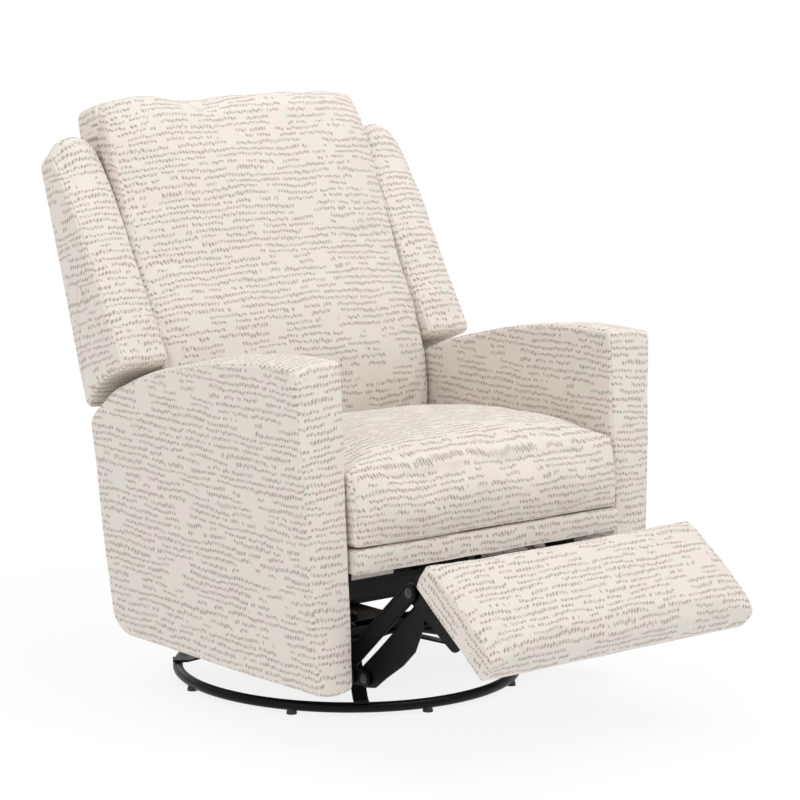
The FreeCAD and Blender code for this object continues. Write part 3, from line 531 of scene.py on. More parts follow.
@dataclass
class Outline:
    """A closed outline of rounded corners, walked at even steps that crowd at its seams."""

    corners: Sequence[tuple[float, float, float]]
    step: float = 0.009
    seams: Sequence[tuple[float, float]] = ()

    def walk(self) -> tuple[np.ndarray, np.ndarray, np.ndarray]:
        """Samples the outline.

        Returns:
            Points, the length walked at each one, and the lengths at which its seams lie.
        """
        places = [np.array(c[:2], float) for c in self.corners]
        dense = []
        for k, (_, _, radius) in enumerate(self.corners):
            after = places[(k + 1) % len(places)]
            dense += turn_corner(places[k - 1], places[k], after, radius, self.step / 3)
        ring = np.array(dense + dense[:1])
        walked = np.concatenate([[0], np.cumsum(np.linalg.norm(np.diff(ring, axis=0), axis=1))])
        total = walked[-1]
        at = [walked[np.argmin(np.linalg.norm(ring - np.array(s), axis=1))] for s in self.seams]
        stops = list(np.linspace(0, total, int(total / self.step), endpoint=False))
        for seam in at:
            stops = [s for s in stops if abs(s - seam) > 0.007]
            stops += [seam + d for d in (-0.005, -0.0028, -0.0012, 0.0, 0.0012, 0.0028, 0.005)]
        stops = np.unique(np.mod(np.array(stops), total))
        points = np.stack([np.interp(stops, walked, ring[:, k]) for k in range(2)], axis=1)
        return points, stops, np.array(at)


def inward(points: np.ndarray) -> np.ndarray:
    """Unit normals into a closed outline that runs anticlockwise."""
    along = np.roll(points, -1, axis=0) - np.roll(points, 1, axis=0)
    along /= np.linalg.norm(along, axis=1)[:, None]
    return np.stack([-along[:, 1], along[:, 0]], axis=1)


def soft_step(values: np.ndarray, low: float, high: float) -> np.ndarray:
    """A smooth step from 0 at low to 1 at high."""
    share = np.clip((np.asarray(values, float) - low) / (high - low), 0, 1)
    return share * share * (3 - 2 * share)


@dataclass
class Axes:
    """A flat drawing's place in the chair: its origin and its across, up and depth directions."""

    origin: tuple[float, float, float]
    across: tuple[float, float, float]
    up: tuple[float, float, float]
    depth: tuple[float, float, float]

    def place(self, a: np.ndarray, b: np.ndarray, c: np.ndarray) -> np.ndarray:
        """The points of a drawing, in the chair.

        Args:
            a: Distances across.
            b: Distances up.
            c: Depths.

        Returns:
            One row of x, y and z for each.
        """
        columns = (np.asarray(a)[:, None], np.asarray(b)[:, None], np.asarray(c)[:, None])
        made = np.array(self.origin, float)
        for column, direction in zip(columns, (self.across, self.up, self.depth)):
            made = made + column * np.array(direction, float)
        return made


LEAN = math.radians(18.67)
PAD_SLOPE = math.radians(38.0)
# The drawings' heights are measured from a plane this far under the floor
FLOOR_Z = 0.010
BACK_FOOT = (0.238, 0.484)
PAD_HINGE = (-0.549, 0.3405)
SIDE_VIEW = Axes((0, 0, -FLOOR_Z), (0, 1, 0), (0, 0, 1), (1, 0, 0))
REAR_VIEW = Axes((0, 0, 0), (1, 0, 0), (0, 0, 1), (0, 1, 0))
BACK_SIDE = Axes(
    (0, BACK_FOOT[0], BACK_FOOT[1] - FLOOR_Z), (0, math.cos(LEAN), -math.sin(LEAN)),
    (0, math.sin(LEAN), math.cos(LEAN)), (1, 0, 0),
)
BACK_REAR = Axes(BACK_SIDE.origin, (1, 0, 0), BACK_SIDE.up, BACK_SIDE.across)
PAD_SIDE = Axes(
    (0, PAD_HINGE[0], PAD_HINGE[1] - FLOOR_Z), (0, -math.cos(PAD_SLOPE), -math.sin(PAD_SLOPE)),
    (0, -math.sin(PAD_SLOPE), math.cos(PAD_SLOPE)), (1, 0, 0),
)


def in_back(y: float, z: float, radius: float) -> tuple[float, float, float]:
    """A corner given upright, in the back's own drawing.

    Args:
        y: Its place along the chair.
        z: Its height.
        radius: The corner's radius.

    Returns:
        The same corner, across and up the leaning back.
    """
    dy, dz = y - BACK_FOOT[0], z - BACK_FOOT[1]
    across = dy * math.cos(LEAN) - dz * math.sin(LEAN)
    up = dy * math.sin(LEAN) + dz * math.cos(LEAN)
    return (across, up, radius)


# Covered shapes

PANEL_SHARES = (0.0, 0.014, 0.035, 0.065, 0.105, 0.16, 0.23, 0.31, 0.40, 0.50, 0.61, 0.73, 0.86)
CORNER_TURNS = (0.0, 18.0, 32.0, 39.0, 45.0, 51.0, 58.0, 72.0, 90.0)


@dataclass
class CoveredShape:
    """Upholstery sewn from a strip round an outline and a panel on each side of it."""

    name: str
    outline: Outline
    near: float | Plane
    far: float | Plane
    axes: Axes = field(default_factory=lambda: SIDE_VIEW)
    radius: float = 0.007
    seam_depth: float = 0.0016
    panel_crown: float = 0.003
    crown: float | Plane = 0.003
    across_step: float = 0.010
    fixed: Callable[[np.ndarray, np.ndarray], np.ndarray] | None = None
    settle: Callable[[np.ndarray, np.ndarray, np.ndarray], np.ndarray] | None = None

    def _reach(self, limit: float | Plane, a: np.ndarray, b: np.ndarray) -> np.ndarray:
        """A face's depth at each point."""
        return limit(a, b) if callable(limit) else np.full(len(a), float(limit))

    def rings(self) -> list[dict]:
        """Lists the rings of points from one panel's middle over the strip to the other's.

        Returns:
            For each ring, its kind and its distances in from the outline and from the face.
        """
        made = []
        made += [{"side": 0, "turn": 90.0, "share": share} for share in reversed(PANEL_SHARES[1:])]
        made += [{"side": 0, "turn": turn, "share": 0.0} for turn in reversed(CORNER_TURNS)]
        middle = self.middle()
        span = abs(float(np.mean(self._reach(self.far, *middle) - self._reach(self.near, *middle))))
        count = max(3, int(round((span - 2 * self.radius) / self.across_step)))
        made += [{"side": None, "turn": 0.0, "share": k / count} for k in range(1, count)]
        made += [{"side": 1, "turn": turn, "share": 0.0} for turn in CORNER_TURNS]
        made += [{"side": 1, "turn": 90.0, "share": share} for share in PANEL_SHARES[1:]]
        return made

    def middle(self) -> tuple[np.ndarray, np.ndarray]:
        """The middle of the outline."""
        points, _, _ = self.outline.walk()
        return points[:, :1].mean(axis=0), points[:, 1:].mean(axis=0)

    def ring_points(
        self, ring: dict, points: np.ndarray, walked: np.ndarray, seams: np.ndarray
    ) -> np.ndarray:
        """Places one ring.

        Args:
            ring: One of the rings.
            points: The outline's points.
            walked: The length walked at each.
            seams: The lengths of the seams that cross the strip.

        Returns:
            Across, up and depth of each point.
        """
        normal = inward(points)
        turn = math.radians(ring["turn"])
        groove = self.seam_depth * math.exp(-(((ring["turn"] - 45.0) / 9.0) ** 2))
        inset = np.full(len(points), self.radius * (1 - math.cos(turn)) + groove * math.cos(turn))
        if ring["share"] == 0.0 or ring["side"] is None:
            for seam in seams:
                inset += self.seam_depth * np.exp(-(((walked - seam) / 0.0022) ** 2)) * math.cos(turn)
        drop = self.radius * (1 - math.sin(turn)) + groove * math.sin(turn)
        if ring["side"] is None:
            share = ring["share"]
            crown = self.crown(points[:, 0], points[:, 1]) if callable(self.crown) else self.crown
            inset -= crown * (1 - (2 * share - 1) ** 2) ** 0.8
            placed = points + normal * inset[:, None]
            low = self._reach(self.near, points[:, 0], points[:, 1]) + self.radius
            high = self._reach(self.far, points[:, 0], points[:, 1]) - self.radius
            depth = low + (high - low) * share
        else:
            placed = points + normal * inset[:, None]
            if ring["share"] > 0:
                centre = points.mean(axis=0)
                placed = placed + (centre - placed) * ring["share"]
                drop = -self.panel_crown * (1 - (1 - ring["share"]) ** 4)
            limit = self.far if ring["side"] else self.near
            face = self._reach(limit, placed[:, 0], placed[:, 1])
            depth = face - drop if ring["side"] else face + drop
        return np.column_stack([placed, depth])

    def build(self) -> bpy.types.Object:
        """Makes the closed mesh with its weave map and its sewn points.

        Returns:
            The object, with its place in its mesh.
        """
        points, walked, seams = self.outline.walk()
        total = walked[-1] + np.linalg.norm(points[0] - points[-1])
        rings = self.rings()
        flat = [self.ring_points(ring, points, walked, seams) for ring in rings]
        count = len(points)
        poles = [flat[0].mean(axis=0), flat[-1].mean(axis=0)]
        sheet = np.vstack(flat + [np.array(poles)])
        if self.settle is not None:
            sheet = self.settle(sheet[:, 0], sheet[:, 1], sheet[:, 2])
        placed = self.axes.place(sheet[:, 0], sheet[:, 1], sheet[:, 2])
        faces = []
        maps = []
        for k in range(len(rings) - 1):
            panel = min(rings[k]["turn"], rings[k + 1]["turn"]) >= 44.0
            for i in range(count):
                j = (i + 1) % count
                corners = [k * count + i, k * count + j, (k + 1) * count + j, (k + 1) * count + i]
                faces.append(corners)
                if panel:
                    maps += [(sheet[c, 0], sheet[c, 1]) for c in corners]
                else:
                    ahead = walked[j] if j else total
                    lengths = (walked[i], ahead, ahead, walked[i])
                    maps += [(sheet[c, 2], -length) for c, length in zip(corners, lengths)]
        last = len(sheet)
        for pole, base in ((last - 2, 0), (last - 1, (len(rings) - 1) * count)):
            for i in range(count):
                corners = [base + i, base + (i + 1) % count, pole]
                faces.append(corners)
                maps += [(sheet[c, 0], sheet[c, 1]) for c in corners]
        made = mesh_object(self.name, placed, faces)
        layer = made.data.uv_layers.new(name=WEAVE)
        layer.data.foreach_set("uv", np.array(maps, np.float32).ravel())
        self._mark_sewn(made, rings, sheet, count)
        face_outwards(made)
        return made

    def _mark_sewn(self, made: bpy.types.Object, rings: list[dict], sheet: np.ndarray, count: int) -> None:
        """Groups the points that stay put when the cover is filled.

        Args:
            made: The object.
            rings: Its rings.
            sheet: Its flat points.
            count: Points in a ring.
        """
        group = made.vertex_groups.new(name=PIN)
        held = np.zeros(len(sheet), bool)
        for k, ring in enumerate(rings):
            if 40.0 < ring["turn"] < 50.0:
                held[k * count:(k + 1) * count] = True
        if self.fixed is not None:
            held |= self.fixed(sheet[:, 0], sheet[:, 1])
        group.add([int(i) for i in np.nonzero(held)[0]], 1.0, "REPLACE")


def mesh_object(name: str, points: np.ndarray, faces: Sequence[Sequence[int]]) -> bpy.types.Object:
    """An object in the scene from points and faces, shaded smooth.

    Args:
        name: The object's name.
        points: Its points, in metres.
        faces: The corners of each face.

    Returns:
        The object.
    """
    mesh = bpy.data.meshes.new(name)
    mesh.from_pydata([tuple(p) for p in np.asarray(points, float)], [], [tuple(f) for f in faces])
    mesh.update()
    mesh.shade_smooth()
    made = bpy.data.objects.new(name, mesh)
    bpy.context.scene.collection.objects.link(made)
    return made


def face_outwards(made: bpy.types.Object) -> None:
    """Turns a closed mesh's faces outwards."""
    work = bmesh.new()
    work.from_mesh(made.data)
    bmesh.ops.recalc_face_normals(work, faces=work.faces)
    work.to_mesh(made.data)
    work.free()


def coordinates(mesh: bpy.types.Mesh) -> np.ndarray:
    """A mesh's points as rows."""
    flat = np.empty(len(mesh.vertices) * 3, np.float32)
    mesh.vertices.foreach_get("co", flat)
    return flat.reshape(-1, 3).astype(float)


def write_back(mesh: bpy.types.Mesh, points: np.ndarray) -> None:
    """Puts points back on a mesh."""
    mesh.vertices.foreach_set("co", points.astype(np.float32).ravel())
    mesh.update()


def ruffle(made: bpy.types.Object, height: float, length: float, seed: float) -> None:
    """Gives a cover the slight unevenness of stuffing under cloth.

    Args:
        made: The piece.
        height: How far a point moves at most.
        length: Distance between swells.
        seed: Where in the noise it is read.
    """
    mesh = made.data
    points = coordinates(mesh)
    normals = np.array([v.normal[:] for v in mesh.vertices])
    shift = Vector((seed, 1.7 * seed, 0.3 * seed))
    swell = np.array([noise.noise(Vector(p) / length + shift) for p in points])
    write_back(mesh, points + normals * (height * swell)[:, None])


@dataclass(frozen=True)
class Filling:
    """How a cover is filled in the cloth simulation."""

    pressure: float = 4.0
    slack: float = 0.012
    cap: float = 0.016
    frames: int = 16
    bending: float = 0.8
    stiffness: float = 22.0

    def swell(self, made: bpy.types.Object) -> None:
        """Blows the cover up between its seams, but not sideways, where the arms hold it.

        Args:
            made: The piece, before it rides on anything.
        """
        before = coordinates(made.data)
        cloth = made.modifiers.new("cloth", "CLOTH")
        settings = cloth.settings
        settings.quality = 5
        settings.mass = 0.25
        settings.tension_stiffness = self.stiffness
        settings.compression_stiffness = self.stiffness
        settings.shear_stiffness = 8.0
        settings.bending_stiffness = self.bending
        settings.air_damping = 2.0
        settings.use_pressure = True
        settings.uniform_pressure_force = self.pressure
        settings.shrink_min = -self.slack
        settings.vertex_group_mass = PIN
        settings.effector_weights.gravity = 0.0
        cloth.point_cache.frame_start = 1
        cloth.point_cache.frame_end = self.frames
        scene = bpy.context.scene
        for frame_number in range(1, self.frames + 1):
            scene.frame_set(frame_number)
        graph = bpy.context.evaluated_depsgraph_get()
        shown = made.evaluated_get(graph)
        after = coordinates(shown.to_mesh())
        shown.to_mesh_clear()
        made.modifiers.remove(cloth)
        scene.frame_set(1)
        moved = (after - before) * (0.0, 1.0, 1.0)
        length = np.linalg.norm(moved, axis=1)
        scale = np.minimum(1.0, self.cap / np.maximum(length, 1e-9))
        write_back(made.data, before + moved * scale[:, None])
        LOG.info("%s filled, most %.1f mm", made.name, 1000 * float(length.max()))


def subdivide(made: bpy.types.Object, levels: int = 1) -> None:
    """Rounds the mesh with a subdivision surface."""
    smooth = made.modifiers.new("rounding", "SUBSURF")
    smooth.levels = levels
    smooth.render_levels = levels


def applied(made: bpy.types.Object) -> bpy.types.Object:
    """Turns what an object's modifiers make into its own mesh.

    Args:
        made: The object.

    Returns:
        The same object with no modifiers.
    """
    graph = bpy.context.evaluated_depsgraph_get()
    mesh = bpy.data.meshes.new_from_object(made.evaluated_get(graph), depsgraph=graph)
    made.modifiers.clear()
    old = made.data
    made.data = mesh
    bpy.data.meshes.remove(old)
    return made


# Sub-assemblies

@dataclass
class Workshop:
    """What every sub-assembly shares: the loaded frame and the finished materials."""

    frame: dict
    finishes: dict[Slot, bpy.types.Material]

    def paint(self, piece: bpy.types.Object, slot: Slot) -> None:
        """Gives a piece one finish all over.

        Args:
            piece: The piece or CAD node.
            slot: The finish.
        """
        piece.data.materials.clear()
        piece.data.materials.append(self.finishes[slot])
        piece.data.polygons.foreach_set("material_index", [0] * len(piece.data.polygons))

    def cover(
        self, shape: CoveredShape, body: str, nodes: Sequence[str],
        swells: Sequence[tuple[float, float, float]], filling: Filling | None = None,
        cut: Callable[[bpy.types.Object], None] | None = None,
    ) -> None:
        """Sews a fabric piece, fills it and puts it on its body.

        Args:
            shape: What is sewn.
            body: The body that it rides on.
            nodes: The solids that it stands for.
            swells: Height, length and seed of each unevenness.
            filling: How it is blown up, if it is.
            cut: What opens it, if anything does.
        """
        piece = shape.build()
        if filling is not None:
            filling.swell(piece)
        for swell in swells:
            ruffle(piece, *swell)
        subdivide(piece)
        if cut is not None:
            cut(piece)
        self.paint(piece, Slot.FABRIC)
        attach(piece, body)
        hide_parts(*nodes)
        LOG.info("%s: %d faces on %s", piece.name, len(piece.data.polygons), body)


@dataclass
class Arms:
    """The two padded arms, flared outwards and lower at the rear."""

    inner: float = 0.300
    outer_foot: float = 0.370
    outer_top: float = 0.400
    hem: float = 0.100
    fall: float = 0.009

    def outline(self) -> Outline:
        """The arm seen from the side, on its inner plane."""
        corners = (
            (-0.384, self.hem, 0.010), (0.199, self.hem, 0.050), (0.238, 0.486, 0.030), (0.162, 0.546, 0.150),
            (0.071, 0.582, 0.40), (-0.065, 0.615, 0.60), (-0.170, 0.632, 0.60), (-0.261, 0.641, 0.50),
            (-0.3475, 0.640, 0.011),
        )
        return Outline(corners, 0.0095, [(-0.3475, 0.640)])

    def outer(self, a: np.ndarray, b: np.ndarray) -> np.ndarray:
        """The flared outer face's distance from the middle of the chair."""
        return self.outer_foot + (self.outer_top - self.outer_foot) * (b - self.hem) / 0.525

    def slope(self, a: np.ndarray, b: np.ndarray, c: np.ndarray) -> np.ndarray:
        """Lets the top fall outwards.

        Args:
            a: Places along the chair.
            b: Heights.
            c: Distances from the middle.

        Returns:
            The moved points.
        """
        share = (c - self.inner) / (self.outer_top - self.inner)
        down = self.fall * share * soft_step(b, 0.30, 0.52)
        return np.column_stack([a, b - down, c])

    def build(self, shop: Workshop) -> None:
        """Makes both arms.

        Args:
            shop: The workshop.
        """
        for side, name in ((1.0, "arm_left"), (-1.0, "arm_right")):
            axes = Axes(SIDE_VIEW.origin, SIDE_VIEW.across, SIDE_VIEW.up, (side, 0, 0))
            shape = CoveredShape(
                name + "_cover", self.outline(), self.inner, self.outer, axes,
                radius=0.0085, panel_crown=0.0012, crown=0.004, settle=self.slope, seam_depth=0.0018,
            )
            swells = [(0.0016, 0.11, 3.0 + side), (0.0005, 0.030, 9.0 + side)]
            cut = self.open_for_latch if side < 0 else None
            shop.cover(shape, "carriage", [name], swells, cut=cut)

    def open_for_latch(self, piece: bpy.types.Object) -> None:
        """Cuts the right arm's cover round the release cup.

        Args:
            piece: The right arm's cover.
        """
        low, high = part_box("latch_cup")
        behind, before, rim = 0.004, 0.02, 0.006
        low = Vector((low.x - behind, low.y + rim, low.z + rim))
        high = Vector((high.x + before, high.y - rim, high.z - rim))
        corners = [(x, y, z) for x in (low.x, high.x) for y in (low.y, high.y) for z in (low.z, high.z)]
        faces = [(0, 1, 3, 2), (4, 6, 7, 5), (0, 4, 5, 1), (2, 3, 7, 6), (0, 2, 6, 4), (1, 5, 7, 3)]
        tool = mesh_object("latch_opening", np.array(corners), faces)
        cut = piece.modifiers.new("opening", "BOOLEAN")
        cut.operation = "DIFFERENCE"
        cut.solver = "FAST"
        cut.object = tool
        applied(piece)
        bpy.data.objects.remove(tool)


@dataclass
class SeatCover:
    """The seat cushion and the covered band under its front."""

    half: float = 0.2965
    low: float = 0.3335

    def outline(self) -> Outline:
        """The cushion seen from the side, at its edges."""
        corners = (
            (-0.3805, self.low, 0.005), (0.097, self.low, 0.015), (0.095, 0.440, 0.035),
            (-0.020, 0.458, 0.30), (-0.140, 0.468, 0.50), (-0.270, 0.470, 0.30),
            (-0.3640, 0.4600, 0.011), (-0.3820, 0.396, 0.20),
        )
        return Outline(corners, 0.0085, [(-0.3640, 0.4600)])

    def crown(self, a: np.ndarray, b: np.ndarray) -> np.ndarray:
        """How far the middle stands out: most on top, less in front, none below."""
        top = soft_step(b, 0.435, 0.462)
        front = soft_step(-a, 0.34, 0.37) * (1 - top) * soft_step(b, 0.335, 0.36)
        return 0.016 * top + 0.006 * front

    def held(self, a: np.ndarray, b: np.ndarray) -> np.ndarray:
        """The points against the frame and the back."""
        return (b < self.low + 0.006) | (a > 0.088)

    def build(self, shop: Workshop) -> None:
        """Makes the cushion and its band.

        Args:
            shop: The workshop.
        """
        shape = CoveredShape(
            "seat_cushion_cover", self.outline(), -self.half, self.half, SIDE_VIEW,
            radius=0.013, panel_crown=0.0, crown=self.crown, fixed=self.held, seam_depth=0.0024,
        )
        shop.cover(shape, "seat", ["seat_cushion"], [(0.0022, 0.09, 5.0)], Filling(cap=0.012))
        corners = (
            (-0.3535, 0.291, 0.004), (-0.3535, 0.3322, 0.003), (-0.3820, 0.3322, 0.004),
            (-0.3860, 0.311, 0.05), (-0.3800, 0.291, 0.008),
        )
        band = CoveredShape(
            "seat_band_cover", Outline(corners, 0.0045), -self.half, self.half, SIDE_VIEW,
            radius=0.005, panel_crown=0.0, crown=0.001, across_step=0.012,
        )
        shop.cover(band, "seat", ["seat_front_band"], [(0.0016, 0.07, 8.0)])


@dataclass
class Footrest:
    """The footrest's pad, drawn from the side down its slope."""

    half: float = 0.2945

    def outline(self) -> Outline:
        """The pad seen from the side."""
        corners = (
            (0.0050, -0.0500, 0.005), (0.0005, -0.032, 0.020), (0.0000, -0.0010, 0.008),
            (0.030, 0.0050, 0.10), (0.105, 0.0085, 0.30), (0.178, 0.0050, 0.08),
            (0.2065, -0.004, 0.016), (0.2105, -0.024, 0.020),
            (0.2045, -0.0500, 0.006),
        )
        return Outline(tuple(reversed(corners)), 0.006)

    def crown(self, a: np.ndarray, b: np.ndarray) -> np.ndarray:
        """How far the pad's middle stands out of its face."""
        return 0.006 * soft_step(b, -0.012, 0.004)

    def held(self, a: np.ndarray, b: np.ndarray) -> np.ndarray:
        """The points on the board."""
        return b < -0.040

    def build(self, shop: Workshop) -> None:
        """Makes the pad.

        Args:
            shop: The workshop.
        """
        shape = CoveredShape(
            "footrest_pad_cover", self.outline(), -self.half, self.half, PAD_SIDE,
            radius=0.0065, panel_crown=0.0008, crown=self.crown, fixed=self.held, seam_depth=0.0014,
            across_step=0.0085,
        )
        filling = Filling(pressure=3.0, cap=0.007, slack=0.008)
        nodes = ["footrest_pad", "footrest_board"]
        shop.cover(shape, "footrest", nodes, [(0.0012, 0.08, 12.0)], filling)


@dataclass
class BackCover:
    """The back cushion, the wings and the rear shell."""

    half: float = 0.2965
    wing_inner: float = 0.2985
    wing_outer: float = 0.397

    def cushion_outline(self) -> Outline:
        """The back cushion seen from the side."""
        corners = (
            (0.111, 0.430, 0.015), (0.183, 0.430, 0.012), (0.3800, 1.013, 0.022), (0.345, 1.0330, 0.028),
            (0.317, 0.994, 0.040), (0.255, 0.850, 0.60), (0.204, 0.726, 0.60), (0.160, 0.643, 0.35),
            (0.129, 0.560, 0.35), (0.116, 0.500, 0.30),
        )
        return Outline(corners, 0.0095)

    def cushion_crown(self, a: np.ndarray, b: np.ndarray) -> np.ndarray:
        """How far the middle of the front stands out."""
        plane = a - (0.108 + (b - 0.43) * 0.352)
        front = 1 - soft_step(plane, 0.012, 0.045)
        return front * (0.006 + 0.010 * soft_step(b, 0.44, 0.56)) * (1 - 0.5 * soft_step(b, 0.90, 1.02))

    def cushion_top(self, a: np.ndarray, b: np.ndarray, c: np.ndarray) -> np.ndarray:
        """Narrows the cushion towards its top and lets the top sag in places.

        Args:
            a: Places along the chair.
            b: Heights.
            c: Distances from the middle.

        Returns:
            The moved points.
        """
        high = soft_step(b, 0.93, 1.02)
        narrow = 1 - 0.022 * high
        corner = soft_step(np.abs(c), 0.215, 0.295) * high
        dip = 0.006 * np.exp(-(((c + 0.10) / 0.055) ** 2)) * high
        return np.column_stack([a, b - 0.006 * corner - dip, c * narrow])

    def cushion_held(self, a: np.ndarray, b: np.ndarray) -> np.ndarray:
        """The points on the frame and below the seat's top."""
        rear = (a - (0.183 + (b - 0.43) * 0.338)) > -0.010
        return rear | (b < 0.44)

    def wing_outline(self) -> Outline:
        """A wing seen from the side, in the back's own drawing."""
        corners = (
            in_back(0.2405, 0.494, 0.008), in_back(0.3860, 0.921, 0.016), in_back(0.350, 0.951, 0.018),
            in_back(0.318, 0.911, 0.20), in_back(0.265, 0.832, 0.60), in_back(0.181, 0.685, 0.60),
            in_back(0.118, 0.581, 0.014), in_back(0.160, 0.566, 0.10), in_back(0.206, 0.545, 0.10),
        )
        return Outline(corners, 0.008, [in_back(0.118, 0.581, 0)[:2]])

    def wing_crown(self, a: np.ndarray, b: np.ndarray) -> np.ndarray:
        """How far the strip's middle stands out: an arch at the top, full in front."""
        top = soft_step(b, 0.40, 0.49)
        rear = soft_step(a, -0.02, -0.004)
        low = 1 - soft_step(b, 0.08, 0.13)
        return (0.007 + 0.012 * top) * (1 - rear) * (1 - low) + 0.002

    def wing_slope(self, a: np.ndarray, b: np.ndarray, c: np.ndarray) -> np.ndarray:
        """Lets a wing's top fall towards its outer side and keeps its rear flat.

        Args:
            a: Distances in front of the rear plane, negative.
            b: Distances up the back.
            c: Distances from the middle.

        Returns:
            The moved points.
        """
        share = np.clip((c - self.wing_inner) / (self.wing_outer - self.wing_inner), 0, 1)
        down = 0.012 * share ** 2 * soft_step(b, 0.30, 0.47)
        return np.column_stack([np.minimum(a, -0.0082), b - down, c])

    def build_cushion(self, shop: Workshop) -> None:
        """Makes the back cushion.

        Args:
            shop: The workshop.
        """
        shape = CoveredShape(
            "back_cushion_cover", self.cushion_outline(), -self.half, self.half, SIDE_VIEW,
            radius=0.024, panel_crown=0.0, crown=self.cushion_crown, fixed=self.cushion_held,
            settle=self.cushion_top, seam_depth=0.0012,
        )
        shop.cover(shape, "back", ["back_cushion"], [(0.0035, 0.12, 21.0)], Filling(cap=0.012))

    def build_wings(self, shop: Workshop) -> None:
        """Makes both wings.

        Args:
            shop: The workshop.
        """
        for side, name in ((1.0, "wing_left"), (-1.0, "wing_right")):
            axes = Axes(BACK_SIDE.origin, BACK_SIDE.across, BACK_SIDE.up, (side, 0, 0))
            shape = CoveredShape(
                name + "_cover", self.wing_outline(), self.wing_inner, self.wing_outer, axes,
                radius=0.010, panel_crown=0.003, crown=self.wing_crown, settle=self.wing_slope,
                seam_depth=0.0018, across_step=0.0085,
            )
            shop.cover(shape, "back", [name], [(0.0022, 0.07, 30.0 + side)])

    def shell_outline(self) -> Outline:
        """The rear shell seen from behind: narrow between the arms, wide behind the wings."""
        right = [
            (0.2955, -0.189, 0.012), (0.2955, 0.010, 0.010), (0.3925, 0.013, 0.008), (0.3925, 0.425, 0.028),
            (0.300, 0.462, 0.040), (0.2945, 0.543, 0.016),
        ]
        left = [(-a, b, r) for a, b, r in reversed(right)]
        return Outline(tuple(right + left), 0.010)

    def shell_front(self, a: np.ndarray, b: np.ndarray) -> np.ndarray:
        """The shell's front face: deep behind the cushion, thin elsewhere."""
        deep = (1 - soft_step(np.abs(a), 0.2945, 0.2975)) * soft_step(b, 0.0, 0.02)
        return -0.0075 - 0.050 * deep

    def build_shell(self, shop: Workshop) -> None:
        """Makes the rear shell.

        Args:
            shop: The workshop.
        """
        shape = CoveredShape(
            "outside_back_cover", self.shell_outline(), self.shell_front, -0.0005, BACK_REAR,
            radius=0.0034, panel_crown=0.0, crown=0.0, across_step=0.008, seam_depth=0.0008,
        )
        shop.cover(shape, "back", ["outside_back"], [(0.0012, 0.16, 40.0)])

    def build_low_panel(self, shop: Workshop) -> None:
        """Makes the fixed panel low between the arms.

        Args:
            shop: The workshop.
        """
        low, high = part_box("lower_back_panel")
        places = ((high.x, low.z), (high.x, high.z), (low.x, high.z), (low.x, low.z))
        corners = [(x, z, 0.008) for x, z in places]
        shape = CoveredShape(
            "lower_panel_cover", Outline(corners, 0.012), low.y, high.y, REAR_VIEW,
            radius=0.007, panel_crown=0.001, crown=0.0008, across_step=0.006,
        )
        shop.cover(shape, "carriage", ["lower_back_panel"], [(0.0012, 0.12, 44.0)])

    def build(self, shop: Workshop) -> None:
        """Makes every covered piece of the back.

        Args:
            shop: The workshop.
        """
        self.build_cushion(shop)
        self.build_wings(shop)
        self.build_shell(shop)
        self.build_low_panel(shop)


@dataclass
class Hardware:
    """The frame's and the mechanism's own nodes, which keep their shapes."""

    def build(self, shop: Workshop) -> None:
        """Gives each node that still shows its finish.

        Args:
            shop: The workshop.
        """
        slots = {s["node"]: Slot(s["material_slot"]) for s in shop.frame["record"]["subparts"]}
        for name, node in shop.frame["nodes"].items():
            shop.paint(node, slots[name])


